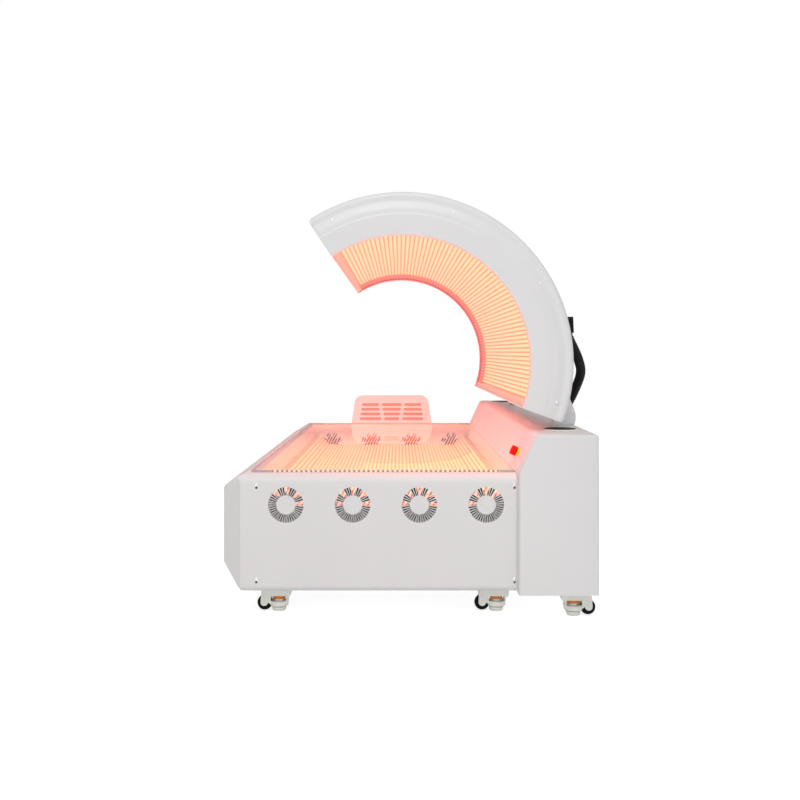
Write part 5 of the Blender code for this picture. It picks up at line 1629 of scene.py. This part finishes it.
# %% Headrest
def headrest():
    corners = [(-REST_BOTTOM / 2, 0.0), (REST_BOTTOM / 2, 0.0), (REST_TOP / 2, REST_TALL),
               (-REST_TOP / 2, REST_TALL)]
    upright = pulled(corners, 0.0, REST_SHEET)
    top = [edge for edge in edges_along(upright, "Y") if edge.verts[0].co.z > REST_TALL * 0.9]
    round_edges(upright, top, REST_ROUND, 10)
    upright = carved(upright, headrest_pockets())
    round_edges(upright, sharp_edges(upright, 1.2), REST_EDGE, 2)
    upright.normal_update()
    for face in upright.faces:
        middle = face.calc_center_median()
        if face.normal.y < -0.5 and middle.y > REST_SHEET / 2:
            face.material_index = 1
        elif face.normal.z < -0.5 and middle.z < REST_SHEET * 2 / 3:
            face.material_index = 2
        else:
            face.material_index = 0
    moved(upright, Matrix.Rotation(-REST_LEAN, 4, "X"))
    foot = block((-REST_BOTTOM / 2, -REST_FOOT, 0.0),
                 (REST_BOTTOM / 2, REST_SHEET * 0.7, REST_SHEET / 3))
    free_edge = [edge for edge in foot.edges if edge.verts[0].co.y + edge.verts[1].co.y < -REST_FOOT]
    round_edges(foot, free_edge, FOOT_EDGE, 2)
    for face in foot.faces:
        face.material_index = 2
    return moved(joined([upright, foot]), Matrix.Translation(REST))


show(headrest(), "slotted_headrest", [REST_FACE, REST_POCKET_RED_LIGHT, REST_CLEAR], "headrest",
     ["headrest"])

# %% [markdown]
# ## Levelling castors
#
# Six castors carry the bed. Each has a grey cast housing that swivels, a black wheel beside a screw
# foot, and an orange thumbwheel in a window of the housing that screws the foot down. One castor is
# made about its own axis, and copies are put under the bed.

# %% Castor housing
CASTOR_TOP = 0.0857
WHEEL_X = -0.047
AXLE_Z = 0.0261
WHEEL_RADIUS = 0.0246
WHEEL_HALF = 0.0105
WHEEL_ROOM = 0.0014
HOUSING_HALF = 0.0220
HOUSING_RIGHT = 0.0395
HOUSING_LOW = 0.02485
HOUSING_EDGE = 0.0022
BOSS_RADIUS = 0.0122
WINDOW_HALF = 0.0255
WINDOW_LOW = 0.0325
WINDOW_HIGH = 0.0500
WINDOW_ROUND = 0.0016
WINDOW_CUT = 0.08
SHAFT_ROOM = 0.0085
SHAFT_TOP = 0.082
RING_SECTION = [(0.0, 0.0172), (0.0285, 0.0172), (0.0300, 0.0187), (0.0300, 0.0310), (0.0290, 0.0325),
                (0.0, 0.0325)]


def castor_housing():
    boss = arc((WHEEL_X, AXLE_Z + 0.0036), BOSS_RADIUS, math.pi, math.tau, 14)
    outline = [(WHEEL_X - 0.0086, CASTOR_TOP), *boss, (-WINDOW_HALF - 0.003, HOUSING_LOW),
               (WINDOW_HALF + 0.0035, HOUSING_LOW), (WINDOW_HALF + 0.0045, 0.0460),
               (HOUSING_RIGHT - 0.0030, 0.0480), (HOUSING_RIGHT, 0.0540), (HOUSING_RIGHT, CASTOR_TOP)]
    body = pulled(outline, -HOUSING_HALF, HOUSING_HALF)
    round_edges(body, outline_edges(body), HOUSING_EDGE, 3)
    body = united(body, turned(RING_SECTION, 48))
    window = block((-WINDOW_HALF, -WINDOW_CUT, WINDOW_LOW), (WINDOW_HALF, WINDOW_CUT, WINDOW_HIGH))
    round_edges(window, edges_along(window, "Y"), WINDOW_ROUND, 3)
    half = WHEEL_HALF + GAP
    room = along_y(rod(WHEEL_RADIUS + WHEEL_ROOM, -half, half, 48), WHEEL_X, 0.0, AXLE_Z)
    body = carved(body, window, rod(SHAFT_ROOM, 0.0, SHAFT_TOP, 24), room)
    end = HOUSING_HALF + 0.0012
    axle = turned([(0.0, -end), (0.0040, -end), (0.0050, -end + 0.0010), (0.0040, -end + 0.0012),
                   (0.0040, end - 0.0012), (0.0050, end - 0.0010), (0.0040, end), (0.0, end)], 20)
    return joined([body, along_y(axle, WHEEL_X, 0.0, AXLE_Z)])


print(f"castor: {CASTOR_TOP * 1000:.1f} mm tall")

# %% [markdown]
# The wheel and the screw foot are turned. The rim of the thumbwheel has notches for the fingers: a thin
# rod with copies round the rim, cut out of it. The thread of the foot is a row of grooves, which looks
# the same at this size.

# %% Castor wheel, thumbwheel and foot
NOTCH_COUNT = 24
NOTCH_PLACE = 0.0222
NOTCH_RADIUS = 0.0016
NOTCH_LOW = 0.0400
HUB_TOP = 0.0401
WHEEL_BORE = 0.0046
THUMB_BORE = 0.0073
THREAD_OUTER = 0.0070
THREAD_INNER = 0.0064
THREAD_PITCH = 0.00175
THREAD_LOW = 0.0150
THREAD_HIGH = 0.0690


def castor_wheel():
    half = WHEEL_HALF
    side = [(WHEEL_BORE, -half), (0.0085, -half), (0.0100, -half * 0.80), (0.0165, -half * 0.80),
            (0.0185, -half), (0.0215, -half * 0.95), (0.0236, -half * 0.75), (WHEEL_RADIUS, -half * 0.40)]
    profile = side + [(radius, -height) for radius, height in side[::-1]]
    return along_y(turned(profile + profile[:1], 48), WHEEL_X, 0.0, AXLE_Z)


def castor_thumbwheel():
    low, high = WINDOW_LOW + GAP, WINDOW_HIGH - GAP
    wheel = turned([(THUMB_BORE, low), (0.0145, low), (0.0145, 0.0398), (0.0200, 0.0402), (0.0211, 0.0412),
                    (0.0211, high - 0.0010), (0.0200, high), (THUMB_BORE, high), (THUMB_BORE, low)], 48)
    notch = moved(rod(NOTCH_RADIUS, NOTCH_LOW, high + 0.001, 10), Matrix.Translation((NOTCH_PLACE, 0, 0)))
    wheel = carved(wheel, copied_round(notch, NOTCH_COUNT, (0, 0, 1)))
    for face in wheel.faces:
        face.material_index = 1 if face.calc_center_median().z < HUB_TOP else 0
    return wheel


def castor_foot():
    profile = [(0.0, 0.0), (0.0195, 0.0), (0.0205, 0.0010), (0.0228, 0.0070), (0.0235, 0.0095),
               (0.0235, 0.0125), (0.0225, 0.0135), (THREAD_OUTER, 0.0135)]
    z = THREAD_LOW
    while z < THREAD_HIGH:
        profile += [(THREAD_OUTER, z), (THREAD_INNER, z + 0.0009)]
        z += THREAD_PITCH
    return turned(profile + [(THREAD_OUTER, 0.0692), (0.0062, 0.0700), (0.0, 0.0700)], 40)


print("castor thread:", round((THREAD_HIGH - THREAD_LOW) / THREAD_PITCH), "turns")

# %% [markdown]
# The housing is pale die-cast metal under a satin paint. The thumbwheel has an orange nylon rim on a
# pale hub.

# %% Castors in place
CASTOR_GREY = enamel("castor grey", (0.920, 0.930, 0.860), 0.45, 0.00008)
ORANGE_NYLON = plastic("orange nylon", (0.85, 0.25, 0.05), (0.72, 0.18, 0.03), 0.40)
CASTOR_PARTS = [("housing", castor_housing, CASTOR_GREY, "castor_grey"),
                ("wheel", castor_wheel, BLACK_RUBBER, "black_rubber"),
                ("thumbwheel", castor_thumbwheel, [ORANGE_NYLON, CASTOR_GREY], "orange_plastic"),
                ("foot", castor_foot, CASTOR_GREY, "castor_grey")]
CASTOR_INSET = 0.090
CASTOR_X = {"entry": -0.4245, "middle": 0.290, "cabinet": 0.5336}
CASTOR_PLACES = []
for (end, inward, face), cabinet_face in zip(BED_ENDS, (CABINET_FOOT, CABINET_HEAD)):
    for side, x in CASTOR_X.items():
        outer, heading = (cabinet_face, math.pi) if side == "cabinet" else (face, 0.0)
        CASTOR_PLACES.append((f"castor_{end}_{side}", x, outer + inward * CASTOR_INSET, heading))
for part, make, material, slot in CASTOR_PARTS:
    pattern = as_mesh(make(), f"castor {part}")
    for name, x, y, heading in CASTOR_PLACES:
        mesh = pattern.copy()
        mesh.transform(Matrix.Translation((x, y, 0.0)) @ Matrix.Rotation(heading, 4, "Z"))
        body = f"{name}_{part}"
        show(mesh, f"{body}_piece", material, body, [body])
    bpy.data.meshes.remove(pattern)

# %% [markdown]
# ## Pan and service panel
#
# The floor pan and the louvred service panel at the back are plain sheet, and their solids are right
# as they are. They only need a finish. The pan is galvanised: a patchwork of zinc crystals, which a
# cell texture gives.

# %% Pan and service panel
def galvanised():
    material, shader, place = start_finish("galvanised steel", {"Metallic": 0.9})
    spangle = place.node("TexVoronoi", {}, {"Vector": place, "Scale": 70.0}, 1)
    grey = spangle.node("SeparateColor", {}, {0: spangle})
    blend_colours(grey, (0.42, 0.43, 0.44), (0.58, 0.58, 0.59)).into(shader.inputs["Base Color"])
    (0.34 + 0.18 * grey).into(shader.inputs["Roughness"])
    return material


for node, material in (("chassis_tray", galvanised()), ("cabinet_back_panel", WHITE_ENAMEL)):
    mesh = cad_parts[node].data
    mesh.materials.clear()
    mesh.materials.append(material)
SERVICE_INSET = 0.045
SERVICE_Y = (CABINET_FOOT + SERVICE_INSET, -0.35, 0.33, CABINET_HEAD - SERVICE_INSET)
SERVICE_Z = (0.135, 0.544)
back_places = [Vector((CABINET_RIGHT, y, z)) for y in SERVICE_Y for z in SERVICE_Z]
show(screw_row(back_places, (1, 0, 0), PANEL_SCREW), "service_screws", ZINC, "base")
